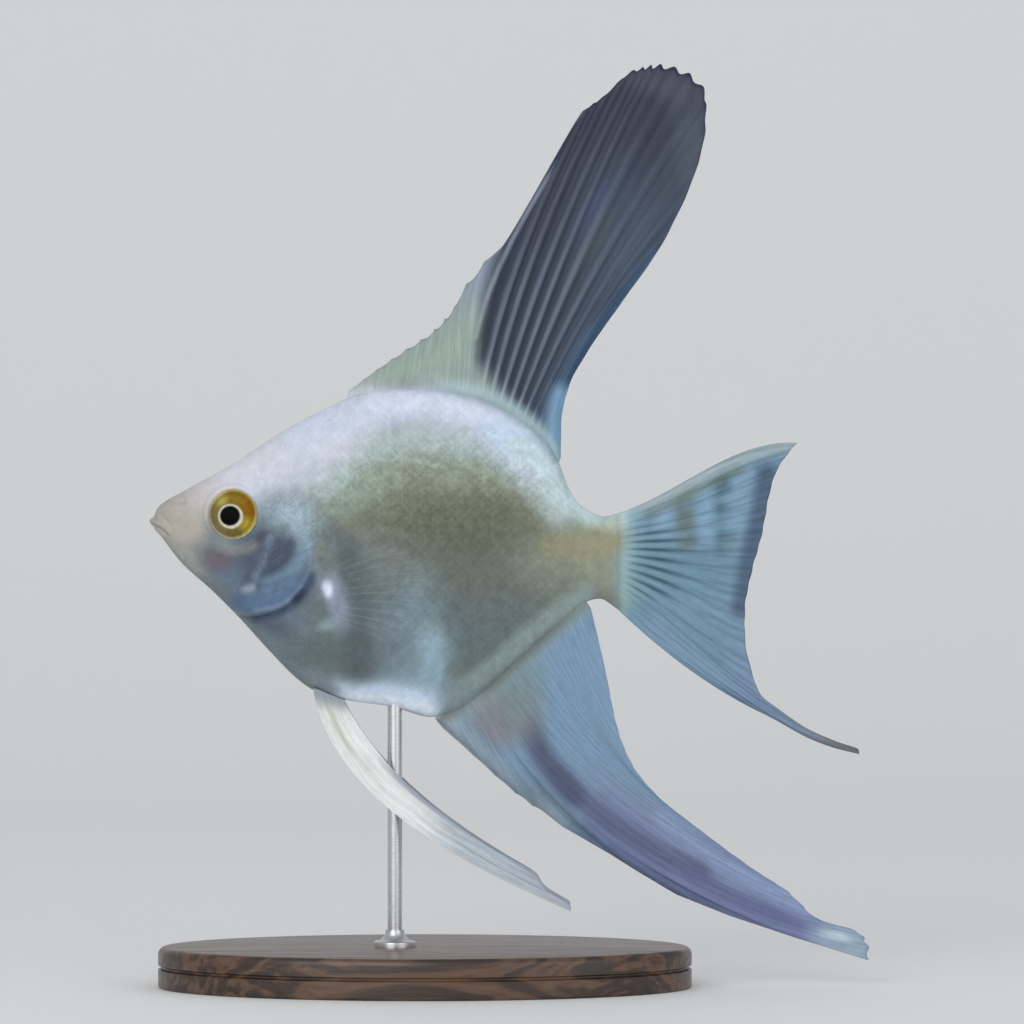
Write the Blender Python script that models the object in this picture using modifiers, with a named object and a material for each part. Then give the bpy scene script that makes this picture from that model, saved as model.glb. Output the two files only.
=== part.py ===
"""A freshwater angelfish (Pterophyllum scalare, a pale blue strain), life size, on a plain display stand.

The tables hold millimetres in the fish's side view: x runs back from the tip of the snout and z up
from the snout's level, with the fish pitched a little nose-up. The head points to -X and the left
flank faces -Y. The origin is the middle of the stand's underside, and +Z is up.
"""

import math

import bmesh
import bpy
from mathutils import Matrix, Vector

MM = 0.001
GAP = 0.3  # clearance between neighbouring solids
FIN_GAP = 0.4  # clearance between the body and the fins that stand on it

# ---------------------------------------------------------------- driving dimensions (mm)
STANDARD_LENGTH = 80.0  # snout to the end of the tail stem
SNOUT_AHEAD = 46.9  # the snout is this far ahead of the stand's middle
SNOUT_HEIGHT = 80.5  # and this far above the floor

# (x, z) of the back and of the belly's edge, fins left off
BACK = [
    (0.0, 0.5), (1.0, 2.5), (5.0, 5.0), (14.0, 10.0), (20.0, 14.0), (25.0, 17.0), (30.0, 19.5),
    (36.0, 22.0), (43.0, 23.0), (50.0, 22.5), (57.0, 21.0), (62.0, 18.5), (67.0, 14.5), (70.0, 10.0),
    (72.0, 5.0), (74.0, 2.5), (78.0, 0.8), (80.0, 1.3),
]
BELLY = [
    (0.0, -1.0), (1.5, -3.0), (5.0, -7.5), (10.0, -12.0), (15.0, -17.0), (20.0, -22.5), (25.0, -27.5),
    (28.0, -29.5), (34.0, -31.2), (41.0, -32.2), (48.0, -34.0), (52.0, -33.0), (57.0, -29.5),
    (62.0, -25.0), (67.0, -20.5), (71.0, -17.0), (74.5, -14.2), (77.0, -13.6), (80.0, -15.3),
]
# (x, value) along the body: half of its width, and the level where it is widest
HALF_WIDTH = [
    (0.0, 1.0), (1.0, 1.7), (5.0, 3.0), (10.0, 4.2), (15.0, 5.1), (20.0, 5.9), (26.0, 6.6), (32.0, 7.0),
    (38.0, 7.0), (46.0, 6.5), (54.0, 5.5), (62.0, 4.2), (70.0, 2.9), (76.0, 2.0), (80.0, 1.4),
]
WIDEST_LEVEL = [(0.0, -0.1), (14.0, 0.0), (25.0, -2.0), (40.0, -4.0), (60.0, -4.5), (80.0, -6.7)]
# (x, exponent) of the section above and below that level: 0.5 is an ellipse, 1 a wedge
BACK_KEEL = [(0.0, 0.55), (20.0, 0.6), (34.0, 0.75), (46.0, 0.85), (66.0, 0.8), (74.0, 0.6), (80.0, 0.5)]
BELLY_KEEL = [
    (0.0, 0.55), (12.0, 0.7), (26.0, 0.75), (34.0, 0.55), (45.0, 0.55), (52.0, 0.8), (70.0, 0.8), (80.0, 0.5),
]
SECTION_POWER = 2.2
# (x, half thickness) of the body's very edge, thicker where a fin stands on it
BACK_EDGE = [(0.0, 0.3), (30.0, 0.4), (36.0, 0.7), (70.0, 0.7), (75.0, 0.5), (80.0, 1.0)]
BELLY_EDGE = [(0.0, 0.3), (30.0, 0.5), (46.0, 0.6), (50.0, 0.7), (72.0, 0.7), (76.0, 0.5), (80.0, 1.0)]
STATIONS = 38
RING_STEPS = 11  # points on each side of a section
END_CROWDING = 0.6  # how much closer the stations stand at the snout and the tail

# Side-view lines that part the body into named pieces
HEAD_LINE = [
    (23.5, 24.0), (24.5, 16.5), (25.0, 10.0), (26.0, 4.0), (27.5, -1.5), (27.5, -6.0), (26.5, -10.5),
    (24.0, -14.5), (19.5, -17.0), (12.0, -18.5),
]
TAIL_LINE = [(72.0, 12.0), (73.4, 3.0), (75.0, -6.0), (75.7, -14.0), (75.9, -24.0)]
LOWER_JAW = [(-3.0, -0.1), (3.3, -3.4), (5.6, -6.4), (6.2, -12.0), (-3.0, -12.0)]
UPPER_JAW = [(-3.0, 0.1), (3.3, -3.2), (4.4, -1.4), (3.2, 1.6), (1.9, 6.0), (-3.0, 6.0)]
GILL_COVER = [
    (20.5, 4.0), (34.0, 4.0), (34.0, -25.0), (14.5, -25.0), (15.0, -15.5), (15.5, -12.0), (17.0, -8.0),
    (19.0, -4.0), (20.0, 0.0),
]
GILL_COVER_INSIDE = 1.9  # the gill covers stop this far from the middle plane
PAST_BODY = 20.0  # cutters reach this far to each side

EYE_MIDDLE = (14.0, 3.9, 1.0)  # x, distance from the middle plane, z
EYE_RADIUS = 4.9
EYE_HALF_DEPTH = 1.9
EYE_FORWARD = 9.6  # degrees that each eye is turned towards the snout, as the head narrows
EYE_UPWARD = 3.0  # and towards the sky

STAND_HALF_LENGTH = 46.0
STAND_HALF_WIDTH = 29.0
STAND_THICKNESS = 7.0
STAND_EDGE = 1.2
ROD_RADIUS = 1.25
ROD_AT = -5.2  # from the stand's middle
ROD_SINK = 4.0  # how far the rod goes into the stand and into the belly
FERRULE_RADIUS = 3.6
FERRULE_HEIGHT = 2.6


# ---------------------------------------------------------------- curves
def smooth_value(points):
    """A function that runs smoothly through (x, value) points and never overshoots them."""
    xs, values = zip(*points)
    steps = [b - a for a, b in zip(xs, xs[1:])]
    rises = [(b - a) / step for a, b, step in zip(values, values[1:], steps)]
    slopes = [rises[0]]
    for before, after in zip(rises, rises[1:]):
        same_way = before * after > 0
        slopes.append(2 * before * after / (before + after) if same_way else 0.0)
    slopes.append(rises[-1])

    def value(x):
        x = min(max(x, xs[0]), xs[-1])
        i = max(k for k in range(len(steps)) if xs[k] <= x)
        t = (x - xs[i]) / steps[i]
        return (
            values[i] * (1 + 2 * t) * (1 - t) ** 2
            + values[i + 1] * t * t * (3 - 2 * t)
            + steps[i] * t * (1 - t) * (slopes[i] * (1 - t) - slopes[i + 1] * t)
        )

    return value


def smooth_points(keys):
    """A function of a ray number that runs smoothly through (number, x, z) keys."""
    x = smooth_value([(r, x) for r, x, z in keys])
    z = smooth_value([(r, z) for r, x, z in keys])
    return lambda r: (x(r), z(r))


def out_from(line, x, side, distance):
    """The point that lies distance outside a profile at x: side is 1 above the back, -1 below the belly."""
    step = 0.05
    slope = (line(x + step) - line(x - step)) / (2 * step)
    length = math.hypot(slope, 1.0)
    return x - side * distance * slope / length, line(x) + side * distance / length


def offset_outline(outline, distance):
    """A closed outline moved outwards by distance, or inwards where it is negative."""
    turned = sum(a[0] * b[1] - b[0] * a[1] for a, b in zip(outline, outline[1:] + outline[:1]))
    way = math.copysign(1.0, turned)
    moved = []
    for i, here in enumerate(outline):
        before = Vector(here) - Vector(outline[i - 1])
        after = Vector(outline[(i + 1) % len(outline)]) - Vector(here)
        normals = [Vector((edge.y, -edge.x)).normalized() * way for edge in (before, after)]
        middle = (normals[0] + normals[1]).normalized()
        moved.append(Vector(here) + middle * distance / max(0.3, middle.dot(normals[0])))
    return [tuple(point) for point in moved]


back = smooth_value(BACK)
belly = smooth_value(BELLY)
half_width = smooth_value(HALF_WIDTH)
widest_level = smooth_value(WIDEST_LEVEL)
back_keel = smooth_value(BACK_KEEL)
belly_keel = smooth_value(BELLY_KEEL)
back_edge = smooth_value(BACK_EDGE)
belly_edge = smooth_value(BELLY_EDGE)


def section_width(x, share, keel, edge):
    """Half width of the body where share is 0 at its widest level and 1 at its edge."""
    fall = max(0.0, 1 - abs(share) ** SECTION_POWER) ** keel
    return edge + (half_width(x) - edge) * fall


def flank(x, z):
    """Distance of the skin from the middle plane at a point of the side view."""
    middle = widest_level(x)
    if z > middle:
        return section_width(x, (z - middle) / (back(x) - middle), back_keel(x), back_edge(x))
    return section_width(x, (middle - z) / (middle - belly(x)), belly_keel(x), belly_edge(x))


# ---------------------------------------------------------------- fins
class Fin:
    """A fan of rays. Each key list gives something along the ray numbers: where a ray starts, where
    it ends, and the directions in degrees (0 back, 90 up) in which it leaves the body and arrives.
    sway gives y from a ray's share of the fan and the way along it."""

    def __init__(self, start, end, leave, arrive, sway):
        self.start = start
        self.end = smooth_points(end)
        self.leave = smooth_value(leave)
        self.arrive = smooth_value(arrive)
        self.sway = sway
        self.last = end[-1][0]
        self.keys = [key[0] for key in end]

    def point(self, ray, along):
        """(x, y, z) on a ray, along from 0 at the body to 1 at the fin's edge."""
        x0, z0 = self.start(ray)
        x1, z1 = self.end(ray)
        chord = math.hypot(x1 - x0, z1 - z0)
        leave = math.radians(self.leave(ray))
        arrive = math.radians(self.arrive(ray))
        t, u = along, 1 - along
        first = chord * t * u * u
        second = -chord * t * t * u
        ease = t * t * (3 - 2 * t)
        x = x0 + (x1 - x0) * ease + first * math.cos(leave) + second * math.cos(arrive)
        z = z0 + (z1 - z0) * ease + first * math.sin(leave) + second * math.sin(arrive)
        return x, self.sway(ray / self.last, along), z


def dorsal_start(ray):
    return out_from(back, DORSAL_BASE(ray), 1, FIN_GAP)


def anal_start(ray):
    return out_from(belly, ANAL_BASE(ray), -1, FIN_GAP)


# Rays 0 to 11 are the dorsal fin's spines, and 12 to 35 its soft rays.
DORSAL_BASE = smooth_value(
    [(0, 33.5), (6, 46.5), (11, 55.5), (12, 56.5), (20, 62.5), (28, 67.0), (35, 70.0)]
)
DORSAL_FIN = Fin(
    dorsal_start,
    end=[
        (0, 33.8, 22.4), (2, 38.5, 26.0), (4, 43.5, 29.5), (6, 48.5, 33.0), (8, 52.0, 37.0), (9, 54.0, 40.8),
        (10, 57.0, 44.5), (11, 60.0, 47.0), (12, 74.0, 70.5), (14, 77.5, 73.0), (16, 82.8, 77.6),
        (19, 87.5, 78.6), (21, 92.5, 77.0), (22.5, 95.4, 73.0), (24, 95.2, 67.0), (25, 94.0, 61.5),
        (27, 88.3, 48.5), (29, 80.6, 37.2), (30.5, 75.3, 29.6), (32, 71.7, 23.0), (33.5, 70.4, 17.0),
        (35, 70.3, 11.0),
    ],
    leave=[(0, 76), (6, 78), (12, 80), (18, 77), (24, 77), (29, 80), (31, 82), (35, 88)],
    arrive=[
        (0, 74), (6, 72), (10, 68), (12, 64), (18, 62), (24, 54), (27, 45), (29, 44), (30, 46), (31.5, 53),
        (33, 68), (35, 86),
    ],
    sway=lambda share, along: -3.2 * along**2 * share + 0.9 * math.sin(5.0 * share) * along,
)

# Rays 0 to 5 are the anal fin's spines, and 6 to 29 its soft rays.
ANAL_BASE = smooth_value([(0, 48.5), (5, 55.5), (6, 56.5), (18, 66.5), (29, 74.8)])
ANAL_FIN = Fin(
    anal_start,
    end=[
        (0, 50.0, -36.0), (1, 55.0, -40.5), (3, 62.5, -47.2), (5, 70.0, -52.6), (5.3, 80.0, -58.6),
        (5.6, 95.0, -67.0), (5.8, 110.0, -72.0), (6, 123.5, -76.0), (7, 123.6, -73.8), (8.5, 122.0, -71.2),
        (10, 115.0, -68.9), (12, 109.5, -64.0), (14, 104.5, -60.8), (17, 94.5, -53.5), (20, 86.5, -47.0),
        (22, 82.5, -41.8), (24, 80.2, -36.0), (27, 77.8, -24.8), (29, 75.6, -15.5),
    ],
    leave=[(0, -54), (5, -58), (6, -64), (8, -64), (10, -60), (16, -61), (22, -64), (29, -72)],
    arrive=[
        (0, -52), (5, -46), (5.3, -38), (5.6, -26), (6, -16), (8, -12), (9, -12), (10, -18), (12, -26),
        (18, -34), (23, -48), (29, -76),
    ],
    sway=lambda share, along: 3.6 * along**2 * (1 - share) - 0.8 * math.sin(4.0 * share) * along,
)

CAUDAL_START_TOP = (STANDARD_LENGTH + GAP, 1.3)
CAUDAL_START_FOOT = (STANDARD_LENGTH + GAP, -15.2)
CAUDAL_LAST_RAY = 16


def caudal_start(ray):
    share = ray / CAUDAL_LAST_RAY
    top, foot = Vector(CAUDAL_START_TOP), Vector(CAUDAL_START_FOOT)
    return tuple(top.lerp(foot, share))


# Rays 12 to 16 carry the lower lobe's trailing filament.
CAUDAL_FIN = Fin(
    caudal_start,
    end=[
        (0, 111.2, 13.4), (1, 109.5, 11.3), (2, 107.8, 8.7), (3, 106.6, 5.0), (5, 105.2, -2.4),
        (7, 103.4, -9.0), (9, 102.2, -16.0), (10, 102.2, -20.0), (11, 103.2, -25.5), (12, 104.8, -30.0),
        (12.5, 108.0, -32.6), (13, 113.0, -36.0), (13.5, 118.0, -38.2), (14, 121.8, -39.6),
        (14.5, 121.9, -40.4), (15, 117.5, -39.3), (15.4, 113.0, -37.6), (15.7, 107.6, -34.6),
        (16, 103.0, -32.3),
    ],
    leave=[
        (0, 17), (5, 4), (8, -6), (11, -24), (12, -29), (13, -33), (14, -35), (14.6, -37), (15, -40),
        (15.4, -43), (16, -44),
    ],
    arrive=[
        (0, -4), (2, 24), (5, 6), (8, -8), (11, -28), (12, -33), (12.5, -31), (13, -26), (13.5, -19),
        (14, -13), (14.6, -16), (15, -24), (15.4, -29), (15.7, -30), (16, -28),
    ],
    sway=lambda share, along: 2.6 * along**2 + 0.7 * math.sin(6.0 * share) * along,
)

PELVIC_SPREAD = 4.6  # how far the tips splay from the roots, to each side
PELVIC_ROOT = 1.5  # distance of the roots from the middle plane
PELVIC_FIN = Fin(
    smooth_points([(0, 28.0, -30.5), (4, 33.5, -32.0)]),
    end=[(0, 72.0, -67.0), (1, 72.0, -66.2), (2, 67.5, -63.2), (3, 66.0, -61.0), (4, 64.5, -60.0)],
    leave=[(0, -77), (4, -62)],
    arrive=[(0, -24), (4, -30)],
    sway=lambda share, along: PELVIC_ROOT + PELVIC_SPREAD * along * (1.4 - 0.4 * along) - 0.8 * share,
)

PECTORAL_STAND_OFF = 0.9  # from the flank to the middle of the fin's root
PECTORAL_ROOT = flank(32.0, -12.0) + PECTORAL_STAND_OFF  # distance of the root from the middle plane
PECTORAL_LIFT = 5.2  # how far its tip stands out from the flank
PECTORAL_FIN = Fin(
    smooth_points([(0, 30.5, -8.5), (10, 32.0, -17.0)]),
    end=[
        (0, 41.5, -3.5), (2, 45.0, -6.5), (4, 47.0, -10.5), (6, 46.5, -14.5), (8, 44.0, -18.5),
        (10, 40.0, -21.0),
    ],
    leave=[(0, 30), (5, 0), (10, -34)],
    arrive=[(0, 20), (5, -8), (10, -40)],
    sway=lambda share, along: PECTORAL_ROOT + PECTORAL_LIFT * along * (0.7 + 0.3 * along),
)


# ---------------------------------------------------------------- building
def clear_scene():
    for obj in list(bpy.data.objects):
        bpy.data.objects.remove(obj)


def new_collection(name):
    collection = bpy.data.collections.new(name)
    bpy.context.scene.collection.children.link(collection)
    return collection


def material(name, colour, roughness, metallic=0.0):
    made = bpy.data.materials.new(name)
    made.use_nodes = True
    shader = made.node_tree.nodes["Principled BSDF"]
    shader.inputs["Base Color"].default_value = (*colour, 1.0)
    shader.inputs["Roughness"].default_value = roughness
    shader.inputs["Metallic"].default_value = metallic
    return made


def place(obj, collection):
    """Moves an object from wherever it was added into one collection."""
    for holder in list(obj.users_collection):
        holder.objects.unlink(obj)
    collection.objects.link(obj)
    return obj


def object_of(name, mesh, collection, paint=None):
    obj = bpy.data.objects.new(name, mesh)
    collection.objects.link(obj)
    if paint:
        mesh.materials.append(paint)
    return obj


def in_metres(x, y, z):
    """A point of the fish, in millimetres from its snout, as a place over the stand."""
    return Vector(((x - SNOUT_AHEAD) * MM, y * MM, (z + SNOUT_HEIGHT) * MM))


def mesh_of(name, points, faces, smooth_angle=math.radians(35)):
    mesh = bpy.data.meshes.new(name)
    mesh.from_pydata([tuple(point) for point in points], [], faces)
    shell = bmesh.new()
    shell.from_mesh(mesh)
    bmesh.ops.recalc_face_normals(shell, faces=shell.faces)
    shell.to_mesh(mesh)
    shell.free()
    mesh.shade_smooth()
    mesh.set_sharp_from_angle(angle=smooth_angle)
    return mesh


def station(k):
    """The x of a section, with sections crowded towards the snout and the tail."""
    t = k / (STATIONS - 1)
    return STANDARD_LENGTH * (t - END_CROWDING * math.sin(2 * math.pi * t) / (2 * math.pi))


def section(x):
    """The closed ring of (y, z) points round the body at x, from the top down the left side."""
    top, middle, foot = back(x), widest_level(x), belly(x)
    left = []
    for k in range(RING_STEPS + 1):
        share = math.cos(math.pi * k / RING_STEPS)
        z = middle + share * (top - middle if share > 0 else middle - foot)
        left.append((-flank(x, z), z))
    return left + [(-y, z) for y, z in reversed(left)]


def body_mesh():
    """The whole body as one loft, before it is parted."""
    rings = [(station(k), section(station(k))) for k in range(STATIONS)]
    points = [in_metres(x, y, z) for x, ring in rings for y, z in ring]
    around = len(rings[0][1])
    faces = [
        (
            k * around + i,
            k * around + (i + 1) % around,
            (k + 1) * around + (i + 1) % around,
            (k + 1) * around + i,
        )
        for k in range(STATIONS - 1)
        for i in range(around)
    ]
    faces.append(tuple(range(around)))
    faces.append(tuple(range((STATIONS - 1) * around, STATIONS * around)))
    return mesh_of("body", points, faces)


def prism(name, outline, near, far, cutters):
    """A side-view outline made solid from y = near to y = far, for use as a cutter."""
    count = len(outline)
    points = [in_metres(x, y, z) for y in (near, far) for x, z in outline]
    sides = [(i, (i + 1) % count, (i + 1) % count + count, i + count) for i in range(count)]
    caps = [tuple(range(count)), tuple(range(count, 2 * count))]
    return hidden(object_of(name, mesh_of(name, points, sides + caps), cutters))


def hidden(cutter):
    cutter.hide_render = True
    cutter.display_type = "WIRE"
    return cutter


def boolean(obj, operation, cutter):
    step = obj.modifiers.new(f"{operation.lower()} {cutter.name}", "BOOLEAN")
    step.operation = operation
    step.solver = "EXACT"
    step.object = cutter


def body_piece(name, outline, body, parts, cutters, paint, near=-PAST_BODY, far=PAST_BODY):
    """The part of the body inside a side-view outline, drawn in by half the gap."""
    obj = object_of(name, body.copy(), parts, paint)
    boolean(obj, "INTERSECT", prism(f"inside_{name}", offset_outline(outline, -GAP / 2), near, far, cutters))
    return obj


def cut_out(obj, name, outline, cutters, near=-PAST_BODY, far=PAST_BODY):
    """Takes a side-view outline, let out by half the gap, from a piece."""
    boolean(obj, "DIFFERENCE", prism(f"outside_{name}", offset_outline(outline, GAP / 2), near, far, cutters))


def eyeball(name, side, radius, half_depth, collection):
    """A flattened ball that looks out to one side, a little forwards and up."""
    x, aside, z = EYE_MIDDLE
    bpy.ops.mesh.primitive_uv_sphere_add(segments=18, ring_count=10, radius=radius * MM)
    obj = place(bpy.context.object, collection)
    obj.name = name
    flatten = Matrix.Diagonal((1.0, 1.0, half_depth / radius, 1.0))
    upright = Matrix.Rotation(math.pi / 2 + side * math.radians(EYE_UPWARD), 4, "X")
    forwards = Matrix.Rotation(side * math.radians(EYE_FORWARD), 4, "Z")
    obj.data.transform(forwards @ upright @ flatten)
    obj.data.shade_smooth()
    obj.location = in_metres(x, side * aside, z)
    return obj


def cylinder(name, radius, low, high, x, sides, collection):
    """An upright cylinder from height low to height high, all in millimetres."""
    middle = in_metres(x + SNOUT_AHEAD, 0.0, (low + high) / 2 - SNOUT_HEIGHT)
    bpy.ops.mesh.primitive_cylinder_add(
        vertices=sides, radius=radius * MM, depth=(high - low) * MM, location=middle
    )
    obj = place(bpy.context.object, collection)
    obj.name = name
    return obj


def fin_solid(name, fin, rows, root, edge, collection, paint, side=1, ridge=0.3):
    """A fin as a grid of rays with Solidify: every other ray is a ridge, root and edge thick."""
    columns = sorted(set(range(int(fin.last) + 1)) | set(fin.keys))
    points = []
    weights = []
    for ray in columns:
        for row in range(rows + 1):
            along = row / rows
            x, y, z = fin.point(ray, along)
            points.append(in_metres(x, side * y, z))
            thickness = edge + (root - edge) * (1 - along) ** 2
            weights.append(thickness - (0.0 if ray % 2 == 0 else ridge * min(1.0, 3 * along)))
    stride = rows + 1
    faces = [
        (c * stride + r, (c + 1) * stride + r, (c + 1) * stride + r + 1, c * stride + r + 1)
        for c in range(len(columns) - 1)
        for r in range(rows)
    ]
    obj = object_of(name, mesh_of(name, points, faces), collection, paint)
    group = obj.vertex_groups.new(name="thickness")
    for index, weight in enumerate(weights):
        group.add([index], weight / root, "REPLACE")
    solidify = obj.modifiers.new("thickness", "SOLIDIFY")
    solidify.thickness = root * MM
    solidify.offset = 0.0
    solidify.vertex_group = group.name
    return obj


def build_body(parts, cutters):
    skin = material("pale blue skin", (0.62, 0.68, 0.72), 0.35)
    gill = material("gill cover", (0.22, 0.32, 0.40), 0.3)
    lips = material("lips", (0.50, 0.47, 0.42), 0.45)
    flanks = material("olive flank", (0.36, 0.39, 0.33), 0.35)
    iris = material("golden iris", (0.62, 0.42, 0.04), 0.15)
    body = body_mesh()

    head_outline = [(-8.0, 24.0), *HEAD_LINE, (12.0, -40.0), (-8.0, -40.0)]
    over_back, under_belly = [(30.0, 40.0), (72.0, 40.0)], [(75.9, -44.0), (12.0, -44.0)]
    trunk_outline = [*reversed(HEAD_LINE), *over_back, *TAIL_LINE, *under_belly]
    tail_outline = [*reversed(TAIL_LINE), (90.0, 12.0), (90.0, -24.0)]

    head = body_piece("head", head_outline, body, parts, cutters, skin)
    trunk = body_piece("trunk", trunk_outline, body, parts, cutters, flanks)
    body_piece("tail_stem", tail_outline, body, parts, cutters, flanks)
    body_piece("lower_jaw", LOWER_JAW, body, parts, cutters, lips)
    body_piece("upper_jaw", UPPER_JAW, body, parts, cutters, lips)
    cut_out(head, "lower_jaw", LOWER_JAW, cutters)
    cut_out(head, "upper_jaw", UPPER_JAW, cutters)

    for side, word in ((-1, "left"), (1, "right")):
        inner, outer = sorted((side * (GILL_COVER_INSIDE + GAP), side * PAST_BODY))
        cover = body_piece(f"gill_cover_{word}", GILL_COVER, body, parts, cutters, gill, inner, outer)
        boolean(cover, "INTERSECT", bpy.data.objects["inside_head"])
        inner, outer = sorted((side * GILL_COVER_INSIDE, side * PAST_BODY))
        cut_out(head, f"gill_cover_{word}", GILL_COVER, cutters, inner, outer)

        eye = eyeball(f"eye_{word}", side, EYE_RADIUS, EYE_HALF_DEPTH, parts)
        eye.data.materials.append(iris)
        socket = hidden(eyeball(f"socket_{word}", side, EYE_RADIUS + GAP, EYE_HALF_DEPTH + GAP, cutters))
        boolean(head, "DIFFERENCE", socket)
    return trunk


def build_fins(parts):
    dark = material("dark fin", (0.10, 0.13, 0.18), 0.4)
    blue = material("blue fin", (0.24, 0.36, 0.48), 0.4)
    white = material("white fin", (0.70, 0.72, 0.72), 0.4)
    clear = material("clear fin", (0.60, 0.66, 0.70), 0.3)
    fin_solid("dorsal_fin", DORSAL_FIN, 7, 1.5, 0.9, parts, dark)
    fin_solid("anal_fin", ANAL_FIN, 8, 1.5, 0.9, parts, blue)
    fin_solid("caudal_fin", CAUDAL_FIN, 7, 2.4, 0.9, parts, blue)
    for side, word in ((-1, "left"), (1, "right")):
        fin_solid(f"pelvic_fin_{word}", PELVIC_FIN, 14, 1.3, 0.9, parts, white, side, 0.2)
        fin_solid(f"pectoral_fin_{word}", PECTORAL_FIN, 5, 1.2, 0.8, parts, clear, side, 0.25)


def build_stand(parts, cutters, trunk):
    wood = material("dark wood", (0.09, 0.05, 0.03), 0.4)
    steel = material("satin steel", (0.6, 0.6, 0.62), 0.3, 1.0)
    rod_foot = STAND_THICKNESS - ROD_SINK
    rod_head = SNOUT_HEIGHT + belly(SNOUT_AHEAD + ROD_AT) + ROD_SINK

    base = cylinder("stand_base", 1.0, 0.0, STAND_THICKNESS, 0.0, 40, parts)
    base.data.transform(Matrix.Diagonal((STAND_HALF_LENGTH, STAND_HALF_WIDTH, 1.0, 1.0)))
    base.data.materials.append(wood)
    bevel = base.modifiers.new("rounded edge", "BEVEL")
    bevel.width = STAND_EDGE * MM
    bevel.segments = 2
    bevel.limit_method = "ANGLE"
    bevel.angle_limit = math.radians(60)

    rod = cylinder("stand_rod", ROD_RADIUS, rod_foot, rod_head, ROD_AT, 20, parts)
    rod.data.materials.append(steel)
    rod.data.shade_smooth()
    rod.data.set_sharp_from_angle(angle=math.radians(40))
    bore = hidden(cylinder("rod_bore", ROD_RADIUS + GAP, rod_foot - GAP, rod_head + GAP, ROD_AT, 20, cutters))
    boolean(base, "DIFFERENCE", bore)
    boolean(trunk, "DIFFERENCE", bore)

    # The profile runs down the outer side and up the bore.
    hole, foot = ROD_RADIUS + GAP, STAND_THICKNESS + GAP
    neck, shoulder = 2.3, 0.9
    profile = [
        (hole, foot + FERRULE_HEIGHT), (neck, foot + FERRULE_HEIGHT), (FERRULE_RADIUS, foot + shoulder),
        (FERRULE_RADIUS, foot), (hole, foot),
    ]
    mesh = bpy.data.meshes.new("stand_ferrule")
    count = len(profile)
    edges = [(i, (i + 1) % count) for i in range(count)]
    mesh.from_pydata([(r * MM, 0.0, z * MM) for r, z in profile], edges, [])
    ferrule = object_of("stand_ferrule", mesh, parts, steel)
    ferrule.location.x = ROD_AT * MM
    turn = ferrule.modifiers.new("turned", "SCREW")
    turn.steps = 24
    turn.render_steps = 24
    turn.use_merge_vertices = True
    turn.merge_threshold = 0.00001
    turn.use_normal_calculate = True


def main():
    clear_scene()
    parts = new_collection("angelfish on a stand")
    cutters = new_collection("cutters")
    trunk = build_body(parts, cutters)
    build_fins(parts)
    build_stand(parts, cutters, trunk)


main()
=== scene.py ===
"""The looks of a freshwater angelfish (Pterophyllum scalare, a pale blue strain) on its display stand.

Shapes and markings are worked out in millimetres in the fish's side view, as in the CAD: x runs back
from the tip of the snout and z up from the snout's level. in_metres puts them into the frame. One
skin carries the body and the fins that grow from it, scales lie over the skin, and the eyes, the
clear pectoral fins and the stand are pieces of their own. The fish's colours are sRGB, from 0 to 255,
and those of the stand and floor linear, from 0 to 1.
"""

import math

import bmesh
import bpy
import numpy as np
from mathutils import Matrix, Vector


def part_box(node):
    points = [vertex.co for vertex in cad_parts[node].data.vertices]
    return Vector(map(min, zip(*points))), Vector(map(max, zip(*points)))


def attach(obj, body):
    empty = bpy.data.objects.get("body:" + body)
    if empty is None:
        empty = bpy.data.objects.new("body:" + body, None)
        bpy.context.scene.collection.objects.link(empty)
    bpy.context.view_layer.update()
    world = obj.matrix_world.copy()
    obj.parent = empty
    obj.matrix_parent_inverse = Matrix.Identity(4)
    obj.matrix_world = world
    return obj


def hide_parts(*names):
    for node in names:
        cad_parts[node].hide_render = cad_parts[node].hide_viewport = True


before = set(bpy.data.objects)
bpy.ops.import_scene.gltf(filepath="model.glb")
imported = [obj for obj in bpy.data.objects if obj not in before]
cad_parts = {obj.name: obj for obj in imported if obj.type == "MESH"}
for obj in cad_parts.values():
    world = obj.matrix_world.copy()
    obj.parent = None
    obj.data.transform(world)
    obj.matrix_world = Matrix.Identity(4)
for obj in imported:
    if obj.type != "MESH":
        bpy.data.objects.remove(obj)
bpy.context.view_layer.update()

MM = 0.001
BODY = "root"  # a still model has one body
SIDES = ((-1, "left"), (1, "right"))

# ---- the body's outline and sections (mm), as in the CAD
STANDARD_LENGTH = 80.0
BACK = [
    (0, 0.5), (1, 2.5), (5, 5), (14, 10), (20, 14), (25, 17), (30, 19.5),
    (36, 22), (43, 23), (50, 22.5), (57, 21), (62, 18.5), (67, 14.5), (70, 10),
    (72, 5), (74, 2.5), (78, 0.8), (80, 1.3),
]
BELLY = [
    (0, -1), (1.5, -3), (5, -7.5), (10, -12), (15, -17), (20, -22.5), (25, -27.5),
    (28, -29.5), (34, -31.2), (41, -32.2), (48, -34), (52, -33), (57, -29.5),
    (62, -25), (67, -20.5), (71, -17), (74.5, -14.2), (77, -13.6), (80, -15.3),
]
HALF_WIDTH = [
    (0, 1), (1, 1.7), (5, 3), (10, 4.2), (15, 5.1), (20, 5.9), (26, 6.6), (32, 7),
    (38, 7), (46, 6.5), (54, 5.5), (62, 4.2), (70, 2.9), (76, 2), (80, 1.4),
]
WIDEST_LEVEL = [(0, -0.1), (14, 0), (25, -2), (40, -4), (60, -4.5), (80, -6.7)]
BACK_KEEL = [(0, 0.55), (20, 0.6), (34, 0.75), (46, 0.85), (66, 0.8), (74, 0.6), (80, 0.5)]
BELLY_KEEL = [
    (0, 0.55), (12, 0.7), (26, 0.75), (34, 0.55), (45, 0.55), (52, 0.8), (70, 0.8), (80, 0.5),
]
SECTION_POWER = 2.2

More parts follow.
